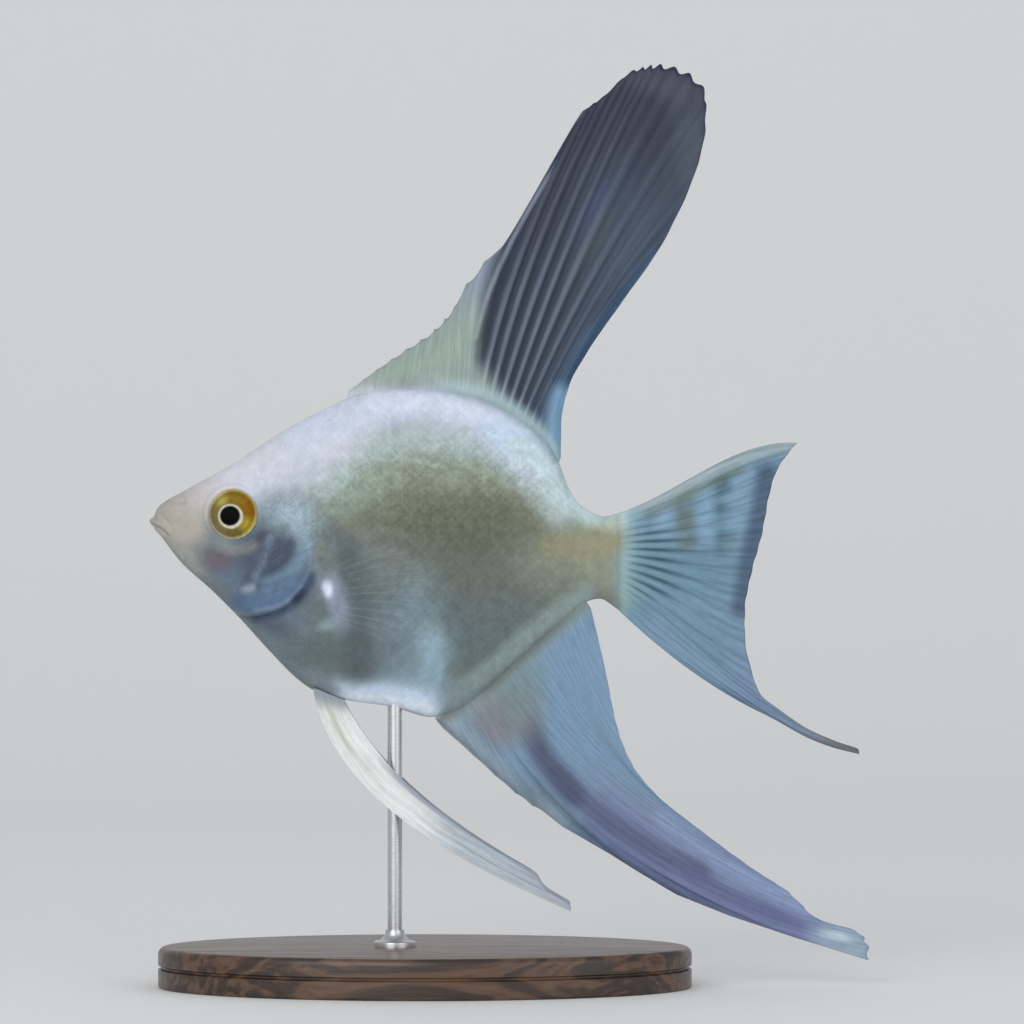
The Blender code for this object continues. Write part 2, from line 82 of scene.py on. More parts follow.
# ---- the skin's own dimensions (mm)
# (x, half thickness) of its very edge: thin, but as wide as the root of a fin that grows there
BACK_EDGE = [
    (0, 0.05), (31, 0.08), (35, 0.45), (40, 0.6), (66, 0.6), (71, 0.35), (74, 0.2), (80, 0.9),
]
BELLY_EDGE = [(0, 0.05), (45, 0.1), (51, 0.5), (60, 0.6), (72, 0.5), (75.5, 0.25), (80, 0.9)]

SCALE_DEPTH = 0.1  # the skin lies this far inside the solids, under its scales
SNOUT_ROUND = 0.45  # the snout's rounded tip reaches this far ahead of x = 0
SNOUT_TIP_LEVEL = -0.5
RING_STEPS = 180  # points on each side of a section
# (from x, to x, spacing) of the skin's sections: close where the head's folds and the soft rays are
STATION_RUNS = [
    (0, 3, 0.1), (3, 28, 0.16), (28, 33.5, 0.2), (33.5, 48.5, 0.4), (48.5, 56.5, 0.4),
    (56.5, 70, 0.19), (70, 74.8, 0.19), (74.8, 80, 0.2),
]
BASE_STEPS = 3  # columns of a fin for each interval between sections


def in_metres(x, y, z):
    """Places in the frame, worked out from two CAD nodes: the snout's tip and the top of the back."""
    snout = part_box("upper_jaw")[0][0]
    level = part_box("trunk")[1][2] - max(top for _, top in BACK) * MM
    return np.stack(np.broadcast_arrays(snout + x * MM, y * MM, level + z * MM), axis=-1)


# ---- curves
def smooth(points):
    """A function that runs smoothly through (x, value) points and never overshoots them."""
    xs, values = np.array(points, dtype=float).T
    steps = np.diff(xs)
    rises = np.diff(values) / steps
    before, after = rises[:-1], rises[1:]
    same_way = before * after > 0
    both = np.where(same_way, before + after, 1.0)
    slopes = np.concatenate([rises[:1], np.where(same_way, 2 * before * after / both, 0.0), rises[-1:]])

    def value(x):
        x = np.clip(x, xs[0], xs[-1])
        i = np.clip(np.searchsorted(xs, x, side="right") - 1, 0, len(steps) - 1)
        t = (x - xs[i]) / steps[i]
        return (
            values[i] * (1 + 2 * t) * (1 - t) ** 2
            + values[i + 1] * t * t * (3 - 2 * t)
            + steps[i] * t * (1 - t) * (slopes[i] * (1 - t) - slopes[i + 1] * t)
        )

    return value


def rise(value, start, end):
    """0 at start and before it, 1 at end and past it, smooth in between. start may be above end."""
    t = np.clip((value - start) / (end - start), 0.0, 1.0)
    return t * t * (3 - 2 * t)


def ends(way, start, end):
    """For the share of the way along a line: 0 at both ends, 1 between the shares start and end."""
    return rise(way, 0, start) * rise(way, 1, end)


def bump(value, middle, half_width):
    """A soft bump, 1 at middle and nearly 0 at twice half_width from it."""
    return np.exp(-(((value - middle) / half_width) ** 2))


class Line:
    """A smooth line through (x, z) points of the side view."""

    PIECES = 6  # straight pieces between two points
    FAR = 1000.0

    def __init__(self, points):
        points = np.array(points, dtype=float)
        reach = np.concatenate([[0.0], np.cumsum(np.hypot(*np.diff(points, axis=0).T))])
        fine = np.linspace(0.0, reach[-1], self.PIECES * (len(points) - 1) + 1)
        self.x = smooth(np.column_stack([reach, points[:, 0]]))(fine)
        self.z = smooth(np.column_stack([reach, points[:, 1]]))(fine)

    def near(self, x, z, reach=8.0):
        """Distance from the line, above 0 on the left of its way, and the share of the way along it.
        Past reach it is only known to be far."""
        distance = np.full(x.shape, self.FAR)
        share = np.zeros(x.shape)
        inside = (x > self.x.min() - reach) & (x < self.x.max() + reach)
        inside &= (z > self.z.min() - reach) & (z < self.z.max() + reach)
        px, pz = x[inside], z[inside]
        best = np.full(px.shape, self.FAR)
        signed = best.copy()
        along = np.zeros(px.shape)
        pieces = len(self.x) - 1
        for k in range(pieces):
            dx, dz = self.x[k + 1] - self.x[k], self.z[k + 1] - self.z[k]
            ex, ez = px - self.x[k], pz - self.z[k]
            t = np.clip((ex * dx + ez * dz) / (dx * dx + dz * dz), 0.0, 1.0)
            here = np.hypot(ex - t * dx, ez - t * dz)
            closer = here < best
            best = np.where(closer, here, best)
            signed = np.where(closer, np.where(dx * ez - dz * ex > 0, here, -here), signed)
            along = np.where(closer, (k + t) / pieces, along)
        distance[inside] = signed
        share[inside] = along
        return distance, share


back = smooth(BACK)
belly = smooth(BELLY)
half_width = smooth(HALF_WIDTH)
widest_level = smooth(WIDEST_LEVEL)
back_keel = smooth(BACK_KEEL)
belly_keel = smooth(BELLY_KEEL)
back_edge = smooth(BACK_EDGE)
belly_edge = smooth(BELLY_EDGE)


def crest(x):
    """Level of the skin's top edge."""
    return back(x) - SCALE_DEPTH


def keel(x):
    """Level of the skin's bottom edge."""
    return belly(x) + SCALE_DEPTH


def half_width_at(x, share):
    """Half width of the skin at a share of the way from its widest level to its edge, as share_at's."""
    above = share > 0
    edge = np.where(above, back_edge(x), belly_edge(x))
    sharpness = np.where(above, back_keel(x), belly_keel(x))
    fall = np.clip(1 - np.abs(share) ** SECTION_POWER, 0.0, 1.0) ** sharpness
    return edge + (half_width(x) - SCALE_DEPTH - edge) * fall


def share_at(x, z):
    """0 at the widest level, 1 at the back and -1 at the belly."""
    middle = widest_level(x)
    return (z - middle) / np.where(z > middle, crest(x) - middle, middle - keel(x))


def flank(x, z):
    """Distance of the skin from the middle plane at a point of the side view."""
    return half_width_at(x, share_at(x, z))


def skin_point(x, share):
    """(x, y, z) on the right side of the skin. Ahead of x = 0 the sections close to a rounded tip."""
    at = np.maximum(x, 0.0)
    middle = widest_level(at)
    z = middle + share * np.where(share > 0, crest(at) - middle, middle - keel(at))
    closing = np.sqrt(1 - (np.minimum(x, 0.0) / SNOUT_ROUND) ** 2)
    z = SNOUT_TIP_LEVEL + (z - SNOUT_TIP_LEVEL) * closing
    return x + 0.0 * share, half_width_at(at, share) * closing, z


# ---- fins
# Their edges and rays are as in the CAD, but the dorsal fin's soft rays lean back more at their roots,
# the pectoral fins stand out by their own lift, and no gap parts a fin from the body.
class Fin:
    """A fan of rays. Each key list gives something along the ray numbers: where a ray starts, where
    it ends, and the directions in degrees (0 back, 90 up) in which it leaves the body and arrives.
    sway gives y from a ray's share of the fan and the way along it."""

    def __init__(self, start, end, leave, arrive, sway):
        self.start = start
        self.end_x = smooth([(ray, x) for ray, x, z in end])
        self.end_z = smooth([(ray, z) for ray, x, z in end])
        self.leave = smooth(leave)
        self.arrive = smooth(arrive)
        self.sway = sway
        self.last = end[-1][0]

    def point(self, ray, along):
        """(x, y, z) on a ray, along from 0 at the body to 1 at the fin's edge."""
        x0, z0 = self.start(ray)
        x1, z1 = self.end_x(ray), self.end_z(ray)
        chord = np.hypot(x1 - x0, z1 - z0)
        leave = np.radians(self.leave(ray))
        arrive = np.radians(self.arrive(ray))
        t, u = along, 1 - along
        first = chord * t * u * u
        second = -chord * t * t * u
        ease = t * t * (3 - 2 * t)
        x = x0 + (x1 - x0) * ease + first * np.cos(leave) + second * np.cos(arrive)
        z = z0 + (z1 - z0) * ease + first * np.sin(leave) + second * np.sin(arrive)
        return x, self.sway(ray / self.last, along), z


def along_line(keys):
    """A function of a ray number that gives (x, z) along (number, x, z) keys."""
    x = smooth([(ray, x) for ray, x, z in keys])
    z = smooth([(ray, z) for ray, x, z in keys])
    return lambda ray: (x(ray), z(ray))


# Rays 0 to 11 are the dorsal fin's spines, and 12 to 35 its soft rays.
DORSAL_BASE = smooth([(0, 33.5), (6, 46.5), (11, 55.5), (12, 56.5), (20, 62.5), (28, 67), (35, 70)])
DORSAL_FIRST_SOFT = 12
DORSAL_FIN = Fin(
    lambda ray: (DORSAL_BASE(ray), crest(DORSAL_BASE(ray))),
    end=[
        (0, 33.8, 22.4), (2, 38.5, 26), (4, 43.5, 29.5), (6, 48.5, 33), (8, 52, 37), (9, 54, 40.8),
        (10, 57, 44.5), (11, 60, 47), (12, 74, 70.5), (14, 77.5, 73), (16, 82.8, 77.6),
        (19, 87.5, 78.6), (21, 92.5, 77), (22.5, 95.4, 73), (24, 95.2, 67), (25, 94, 61.5),
        (27, 88.3, 48.5), (29, 80.6, 37.2), (30.5, 75.3, 29.6), (32, 71.7, 23), (33.5, 70.4, 17),
        (35, 70.3, 11),
    ],
    leave=[
        (0, 76), (6, 78), (11, 80), (12, 80), (16, 75), (20, 70), (25, 67), (28, 72), (30, 79), (31.5, 84),
        (33, 86), (35, 88),
    ],
    arrive=[
        (0, 74), (6, 72), (10, 68), (12, 64), (18, 62), (24, 54), (27, 45), (29, 44), (30, 46), (31.5, 53),
        (33, 68), (35, 86),
    ],
    sway=lambda share, along: -3.2 * along**2 * share + 0.9 * np.sin(5.0 * share) * along,
)

# Rays 0 to 5 are the anal fin's spines, and 6 to 29 its soft rays.
ANAL_BASE = smooth([(0, 48.5), (5, 55.5), (6, 56.5), (18, 66.5), (29, 74.8)])
ANAL_FIRST_SOFT = 6
ANAL_FIN = Fin(
    lambda ray: (ANAL_BASE(ray), keel(ANAL_BASE(ray))),
    end=[
        (0, 50, -36), (1, 55, -40.5), (3, 62.5, -47.2), (5, 70, -52.6), (5.3, 80, -58.6),
        (5.6, 95, -67), (5.8, 110, -72), (6, 123.5, -76), (7, 123.6, -73.8), (8.5, 122, -71.2),
        (10, 115, -68.9), (12, 109.5, -64), (14, 104.5, -60.8), (17, 94.5, -53.5), (20, 86.5, -47),
        (22, 82.5, -41.8), (24, 80.2, -36), (27, 77.8, -24.8), (29, 75.6, -15.5),
    ],
    leave=[(0, -54), (5, -58), (6, -64), (8, -64), (10, -60), (16, -61), (22, -64), (29, -72)],
    arrive=[
        (0, -52), (5, -46), (5.3, -38), (5.6, -26), (6, -16), (8, -12), (9, -12), (10, -18), (12, -26),
        (18, -34), (23, -48), (29, -76),
    ],
    sway=lambda share, along: 3.6 * along**2 * (1 - share) - 0.8 * np.sin(4.0 * share) * along,
)

# Rays 12 to 16 carry the lower lobe's trailing filament.
CAUDAL_LAST_RAY = 16
CAUDAL_FIN = Fin(
    lambda ray: (
        STANDARD_LENGTH + 0.0 * ray,
        crest(STANDARD_LENGTH) + (keel(STANDARD_LENGTH) - crest(STANDARD_LENGTH)) * ray / CAUDAL_LAST_RAY,
    ),
    end=[
        (0, 111.2, 13.4), (1, 109.5, 11.3), (2, 107.8, 8.7), (3, 106.6, 5), (5, 105.2, -2.4),
        (7, 103.4, -9), (9, 102.2, -16), (10, 102.2, -20), (11, 103.2, -25.5), (12, 104.8, -30),
        (12.5, 108, -32.6), (13, 113, -36), (13.5, 118, -38.2), (14, 121.8, -39.6),
        (14.5, 121.9, -40.4), (15, 117.5, -39.3), (15.4, 113, -37.6), (15.7, 107.6, -34.6),
        (16, 103, -32.3),
    ],
    leave=[
        (0, 17), (5, 4), (8, -6), (11, -24), (12, -29), (13, -33), (14, -35), (14.6, -37), (15, -40),
        (15.4, -43), (16, -44),
    ],
    arrive=[
        (0, -4), (2, 24), (5, 6), (8, -8), (11, -28), (12, -33), (12.5, -31), (13, -26), (13.5, -19),
        (14, -13), (14.6, -16), (15, -24), (15.4, -29), (15.7, -30), (16, -28),
    ],
    sway=lambda share, along: 2.6 * along**2 + 0.7 * np.sin(6.0 * share) * along,
)

PELVIC_SPREAD = 4.6  # how far the tips splay from the roots, to each side
PELVIC_ROOT = 1.5  # distance of the roots from the middle plane
PELVIC_FIN = Fin(
    along_line([(0, 28.0, -30.5), (4, 33.5, -32.0)]),
    end=[(0, 72, -67), (1, 72, -66.2), (2, 67.5, -63.2), (3, 66, -61), (4, 64.5, -60)],
    leave=[(0, -77), (4, -62)],
    arrive=[(0, -24), (4, -30)],
    sway=lambda share, along: PELVIC_ROOT + PELVIC_SPREAD * along * (1.4 - 0.4 * along) - 0.8 * share,
)

PECTORAL_LIFT = 5.8  # how far the pectoral fin's tip stands out from the flank
PECTORAL_FIN = Fin(
    along_line([(0, 30.5, -8.5), (10, 32.0, -17.0)]),
    end=[
        (0, 41.5, -3.5), (2, 45, -6.5), (4, 47, -10.5), (6, 46.5, -14.5), (8, 44, -18.5),
        (10, 40, -21),
    ],
    leave=[(0, 30), (5, 0), (10, -34)],
    arrive=[(0, 20), (5, -8), (10, -40)],
    sway=lambda share, along: flank(32.0, -12.0) + 0.3 + PECTORAL_LIFT * along * (0.7 + 0.3 * along),
)

# ---- lines of the head and flank
GILL_EDGE = Line([
    (25.5, 6), (27, 0), (27.6, -4), (27.5, -8), (25.6, -12.2), (22, -15.2), (18, -16.3),
    (14.5, -16.4), (11.5, -15),
])
CHEEK_EDGE = Line([
    (20.5, 3.5), (20.5, -1), (19.5, -4.5), (17.5, -8.5), (16.2, -11.5), (15.5, -14.5),
])
MOUTH = Line([(-0.3, -0.6), (1, -1.2), (2.2, -2), (3.1, -3.1)])
UPPER_LIP_FOLD = Line([(0.7, 1.6), (2.2, 0.2), (3.6, -1.6)])
LOWER_LIP_FOLD = Line([(1, -3), (2.6, -3.9), (3.8, -4.2)])
JAW_FOLD = Line([(3.3, -3.3), (6, -7)])
UPPER_SIDE_LINE = Line([
    (27.5, 3), (32, 6.5), (38, 9.5), (45, 10.6), (53, 9.5), (58, 7.5), (62, 4.5),
])
LOWER_SIDE_LINE = Line([(59.8, -3.4), (68, -4.2), (77, -5.2)])
NOSTRIL = (5.5, 3.2)
EYE = (14.0, 1.1)
EYE_OPENING = 4.2  # radius of the eye that shows
PECTORAL_LOBE = (31.2, -12.5)


def sculpt(x, z):
    """How far the folds of the head and flank lift the skin, at points of the side view."""
    lift = np.zeros(x.shape)

    # The gill cover: its free edge stands over a groove, and thin folds follow it below.
    past, way = GILL_EDGE.near(x, z)
    free = rise(way, 0.2, 0.5) * rise(way, 1.0, 0.8)
    cover = np.exp(np.minimum(past, 0.0) / 4.5)
    behind = np.exp(-((np.maximum(past, 0.0) / 0.22) ** 2))
    groove = 0.2 * (1 - behind) * np.exp(-np.maximum(past, 0.0) / 0.7)
    lift += free * (0.5 * np.where(past < 0, cover, behind) - groove * (past > 0))
    under = rise(way, 0.55, 0.7) * rise(way, 1.0, 0.85)
    for distance in (0.9, 1.8):
        lift += 0.12 * under * bump(past, distance, 0.28)

    # The cheek: a ridge and groove where it meets the gill cover, and one more ridge before it.
    past, way = CHEEK_EDGE.near(x, z)
    for distance, height, width in ((0, 0.14, 0.35), (0.7, -0.12, 0.35), (-1.6, 0.09, 0.4)):
        lift += ends(way, 0.12, 0.85) * height * bump(past, distance, width)

    # Round the eye: a low rim, the socket under the globe, and a groove further out below.
    from_eye = np.hypot(x - EYE[0], z - EYE[1])
    below_eye = rise(z - EYE[1], 0.5, -3.0)
    lift += 0.22 * bump(from_eye, EYE_OPENING + 0.55, 0.4)
    lift -= 2.0 * rise(from_eye, EYE_OPENING + 0.15, EYE_OPENING - 0.6)
    lift -= 0.1 * below_eye * bump(from_eye, 6.4, 0.45)

    # Snout: nostril, mouth and lips.
    from_nostril = np.hypot(x - NOSTRIL[0], z - NOSTRIL[1])
    lift += 0.07 * bump(from_nostril, 0.62, 0.22) - 0.35 * bump(from_nostril, 0.0, 0.32)
    past, way = MOUTH.near(x, z)
    lips = rise(way, 1.0, 0.75)
    lift += lips * (0.2 * bump(np.abs(past), 0.55, 0.35) - 0.35 * bump(past, 0.0, 0.15))
    for fold, depth in ((UPPER_LIP_FOLD, 0.12), (LOWER_LIP_FOLD, 0.1), (JAW_FOLD, 0.08)):
        past, way = fold.near(x, z)
        lift -= ends(way, 0.2, 0.7) * depth * bump(past, 0, 0.3)

    # The fleshy root of the pectoral fin.
    dx, dz = x - PECTORAL_LOBE[0], z - PECTORAL_LOBE[1]
    lobe = np.hypot((dx - 0.18 * dz) / 2.0, (dz + 0.18 * dx) / 4.4)
    lift += 0.9 * np.clip(1 - lobe**2, 0.0, 1.0) ** 1.2

    # The two lengths of the lateral line.
    for line in (UPPER_SIDE_LINE, LOWER_SIDE_LINE):
        past, way = line.near(x, z, 2.0)
        lift += 0.1 * bump(past, 0, 0.25) * ends(way, 0.05, 0.95)

    # Nothing lifts the edges where the two sides meet.
    return lift * rise(np.abs(share_at(np.maximum(x, 0.0), z)), 1.0, 0.93)


# ---- colours
class Paint:
    """Colours laid over each other at points of the side view."""

    def __init__(self, x, z, colour):
        self.x = x
        self.z = z
        self.rgb = np.zeros((*x.shape, 3)) + colour

    def lay(self, colour, mask):
        mask = np.clip(mask, 0.0, 1.0)[..., None]
        self.rgb += (np.asarray(colour, dtype=float) - self.rgb) * mask

    def spot(self, colour, middle, radii, strength=0.8, soft=0.8, tilt=0):
        """A soft-edged ellipse, tilted up by degrees."""
        turn = math.radians(tilt)
        dx, dz = self.x - middle[0], self.z - middle[1]
        along = (dx * math.cos(turn) + dz * math.sin(turn)) / radii[0]
        across = (dz * math.cos(turn) - dx * math.sin(turn)) / radii[1]
        self.lay(colour, strength * rise(np.hypot(along, across), 1 + soft, 1 - soft))

    def stroke(self, colour, points, width, strength=0.8, soft=0.8):
        """A soft-edged line, width to each side."""
        past = Line(points).near(self.x, self.z, width * (1 + soft))[0]
        self.lay(colour, strength * rise(np.abs(past), width * (1 + soft), width * (1 - soft)))


def body_paint(x, z):
    """The colours of the body's skin and of its scales."""
    paint = Paint(x, z, (113, 122, 116))
    paint_flank(paint)
    paint_back(paint)
    paint_breast(paint)
    paint_face(paint)
    paint_gills(paint)
    return paint


def paint_flank(paint):
    """The grey middle, the tan tail stem, the pale band of the anal fin's base, and the pale belly with a
    painted highlight along it.
    """
    paint.spot((98, 111, 114), (47, -18), (19, 9), 0.9, 0.6)
    paint.spot((104, 109, 99), (57, -7), (8, 8), 0.7, 0.7)
    paint.spot((124, 130, 123), (42, -7), (4.5, 4), 0.5, 0.7)
    paint.spot((134, 141, 125), (69, -4), (8, 7.5), 0.9, 0.6)
    paint.spot((142, 150, 132), (77, -5), (4.5, 8), 0.9, 0.5)
    paint.stroke((162, 148, 112), [(69, -4), (74.5, -4.5), (79, -3.5)], 2.2, 0.5)
    paint.spot((183, 196, 188), (80, 0), (4, 1.8), 0.8, 0.7)
    paint.spot((140, 166, 168), (81, -9.5), (1.8, 5), 0.7, 0.7)
    paint.spot((107, 114, 110), (60, -14), (5.5, 7), 0.5)
    paint.spot((104, 118, 121), (59, -19), (6, 6), 0.5)
    along_anal_fin = [(51, -31), (60, -24), (68, -17), (74.5, -12.5)]
    paint.stroke((144, 162, 160), along_anal_fin, 1.6, 0.85, 0.7)
    paint.spot((134, 158, 170), (43.5, -23), (6.5, 7.5), 0.75)
    paint.stroke((136, 160, 168), [(45.8, -12.5), (47.8, -22)], 3.4, 0.5, 1)
    paint.stroke((152, 180, 194), [(48.1, -21), (48.4, -31)], 2.1, 0.85, 0.9)
    paint.stroke((140, 166, 182), [(41.5, -26), (48, -28.5)], 2.6, 0.7)
    paint.spot((102, 114, 119), (38, -22.5), (6, 5), 0.6)
    # Painted highlight: a bright band along the pale belly, brightest on its lower line.
    belly_highlight_band = [(32, -29.2), (36, -29.7), (42, -30.2), (48, -31.4)]
    paint.stroke((206, 226, 248), belly_highlight_band, 2.1, 0.95)
    paint.stroke((230, 242, 255), [(33, -30.6), (42, -31.4), (48, -32.8)], 1.2, 0.9)
    paint.spot((130, 147, 154), (53, -30.5), (4, 3), 0.8, 0.7)


def paint_back(paint):
    """The mottled olive saddle, the pale band over it, and the lavender nape and crest, brightened by a
    painted highlight and sheen where the back faces up.
    """
    paint.spot((146, 157, 140), (50, 6.5), (19, 7.5), 0.95, 0.5)
    paint.spot((111, 117, 96), (51, 1.5), (18, 4.2), 0.85, 0.7)
    paint.spot((98, 102, 87), (54, -2), (10.5, 4.2), 0.7)
    paint.spot((146, 166, 152), (34, 5), (6, 3.6), 0.7, tilt=25)
    pale = [(30, 7.5), (37, 12), (46, 14), (57, 12.5), (64, 8), (70, 1.5)]
    paint.stroke((173, 190, 190), pale, 2.6, 0.95)
    # Pale lavender of the forehead and nape, with a painted highlight where they face up.
    paint.spot((206, 209, 221), (22, 11.5), (19.5, 7), 1, 0.35, tilt=27)
    arc = [(29.6, 4.8), (32.5, 8.2), (37, 10.2), (43, 10.6), (49, 9.4)]
    paint.stroke((176, 192, 178), arc, 0.35, 0.45, 0.9)
    # The crest's pale lavender band with a painted highlight and sheen along its top, brightest in the
    # next stroke, and a painted highlight spot near its rear.
    crest_band_and_highlight = [(25, 14.5), (36, 18.5), (46, 19.5), (58, 16.5), (66, 10.5)]
    paint.stroke((204, 213, 231), crest_band_and_highlight, 3.4, 0.95, 0.7)
    bright = [(38, 20.5), (47, 20.6), (56, 18.4), (63, 14)]
    paint.stroke((217, 225, 243), bright, 1.7)
    paint.spot((190, 216, 240), (62, 14), (5, 2.6), 0.7, 0.9, tilt=-30)
    at_edge = rise(paint.z - crest(paint.x), -1.2, 0.4)
    paint.lay((160, 186, 194), 0.8 * at_edge * rise(paint.x, 44.0, 54.0))
    # Pale skin along the rear of the back, with a painted highlight where it faces up.
    paint.stroke((200, 220, 226), [(63, 12.5), (68, 8.5), (71, 4.5), (75, 1.5)], 2.2, 0.9)


def paint_breast(paint):
    """The slate breast below the gill cover, and the dark bar behind it."""
    paint.spot((110, 123, 130), (23.5, -20.5), (10.5, 5.5), 0.95, 0.5, tilt=-43)
    paint.spot((80, 90, 102), (20, -17), (4.8, 1.8), 0.8, 0.7, tilt=-32)
    paint.spot((112, 128, 138), (22, -23.5), (5, 1.5), 0.6, 0.7, tilt=-43)
    paint.spot((128, 140, 148), (29, -28), (3.5, 1.7), 0.8, 0.7, tilt=-35)
    paint.spot((92, 108, 108), (28.5, -22.5), (4.5, 2.6), 0.7, 0.7)
    dark_bar = [(33.6, -6.5), (34.8, -12), (35.2, -20), (35.5, -25)]
    paint.stroke((87, 98, 103), dark_bar, 2.6, 0.9, 0.9)
    paint.stroke((92, 102, 103), [(30.8, -1.8), (32.8, -4), (34, -8)], 1.7, 0.55, 1)


def paint_face(paint):
    """The pinkish snout and lips, and the pale forehead with a painted highlight on it."""
    paint.spot((184, 176, 171), (7, 3.5), (6, 4.5), 0.9, 0.7, tilt=30)
    # Pale forehead, brightened by a painted highlight where it faces up.
    paint.spot((214, 214, 223), (15.5, 9.5), (8.5, 2.8), tilt=32)
    paint.spot((172, 166, 157), (3, 0), (4.5, 3.5), 0.85, 0.6)
    paint.spot((163, 161, 150), (1, -0.5), (2, 2), 0.7, 0.7)
    paint.spot((180, 170, 162), (6.5, -2.5), (4.2, 2.4), 0.8, 0.7)
    paint.spot((162, 162, 158), (6.5, -6.5), (4.6, 1.8), 0.85, 0.7, tilt=-43)
    paint.spot((167, 180, 194), (22, 3), (4, 3.2))
    paint.spot((176, 187, 196), (27.5, 6.5), (4.5, 3.5), 0.6)


def paint_gills(paint):
    """The blue gill cover with its dark blotches, a painted highlight along its rim and a painted shadow
    under it, the red cheek, and the pectoral root with a painted highlight.
    """
    paint.spot((100, 118, 138), (19, -9), (10, 7), 0.95, 0.45, tilt=-27)
    paint.spot((122, 142, 155), (24, 0), (5.2, 3.8), 0.85, 0.7, tilt=-20)
    paint.spot((60, 72, 90), (20.8, -7), (6, 4), 0.8, 0.9, tilt=-30)
    paint.spot((62, 70, 92), (23, -4.4), (1.9, 1.6), 0.75)
    paint.spot((66, 78, 100), (20.8, -8.4), (1.6, 1.3), 0.65, 0.7, tilt=40)
    paint.stroke((70, 72, 80), [(15.5, -5.6), (17.6, -4.4), (19.3, -2.6)], 0.8, 0.6, 0.9)
    paint.stroke((78, 86, 104), [(19.2, -3), (18, -6.5), (16.6, -9.5), (15.6, -12)], 0.6, 0.7, 0.9)
    paint.stroke((140, 150, 172), [(20.4, -3), (19.4, -6.4), (17.8, -9.8)], 0.6, 0.5, 1)
    low_edge = [(14.5, -14), (18.5, -14.8), (22.5, -13.6), (25.6, -10.6)]
    paint.stroke((84, 106, 138), low_edge, 1.2, 0.85)
    rear_edge = [(20, -11), (23.2, -9.4), (25.6, -6.8), (26.5, -3.4)]
    paint.stroke((116, 148, 168), rear_edge, 1.2, 0.75)
    paint.stroke((72, 92, 122), [(18.6, -11.4), (21.4, -10.9), (23.6, -9.8)], 0.5, 0.5, 1)
    paint.stroke((92, 122, 150), [(17, -13.6), (21, -12.9), (24.6, -10.4)], 0.9, 0.6)
    # Painted highlight: a short white streak on the lower gill cover.
    paint.stroke((178, 192, 210), [(15.8, -11.9), (17.2, -11.5)], 0.6, 0.6, 1)
    paint.spot((170, 190, 204), (24.6, 0.6), (3.4, 2.6), 0.75, 0.9, tilt=-15)
    paint.spot((142, 164, 178), (26.2, -3.6), (1, 1.8), 0.5, 0.95, tilt=10)
    paint.spot((92, 104, 116), (22.4, -1.6), (1.1, 0.8), 0.5, tilt=30)
    paint.spot((112, 94, 104), (11.7, -6.6), (2.6, 1.7), 0.8, 0.9)
    paint.stroke((162, 167, 156), [(12, -4), (14.5, -4.9), (17.2, -4.4)], 1, 0.5, 0.95)
    # Painted highlight along the gill cover's lower rim.
    rim = [(27.3, -4), (27.5, -8), (25.5, -12), (22, -14.6), (18, -15.5)]
    paint.stroke((132, 158, 182), rim, 0.5, 0.55, 1)
    shadow = [(27.8, -9.5), (26, -12.8), (22.5, -15.6), (17.5, -17)]
    paint.stroke((58, 70, 92), shadow, 0.7, 0.7, 0.9)
    # Painted shadow: its darkest part, under the gill cover's lower corner.
    paint.spot((40, 48, 66), (25.4, -13), (1.3, 0.7), tilt=45)
    paint.stroke((124, 132, 140), [(30.8, -4), (31.4, -8), (31.8, -11)], 0.9, 0.45, 1)
    paint.stroke((140, 148, 166), [(28, -5.6), (28.5, -8.4), (29.2, -11)], 0.7, 0.4, 1)
    paint.spot((144, 158, 178), (31.6, -14.2), (4.6, 2.2), 0.85, 0.65, tilt=104)
    paint.spot((158, 168, 190), (32.3, -14.6), (2.6, 0.9), 0.4, 0.9, tilt=103)
    # Painted highlight on the fleshy root of the pectoral fin.
    paint.spot((228, 236, 255), (30.3, -11.7), (1.4, 0.85), 0.95, 0.65, tilt=97)
    paint.spot((100, 114, 114), (29, -15.2), (1.6, 1.4), 0.7)
    paint.spot((156, 176, 180), (30.3, -18), (1.5, 0.9), 0.6, 0.9, tilt=20)


DORSAL_DARK_EDGE = Line([
    (62.4, 54.5), (59.4, 47.8), (57.6, 42), (56.5, 36), (55.6, 31), (55.6, 28.4), (57.6, 25.4),
    (60.6, 21.6), (64.2, 17.8), (67.8, 13.4),
])


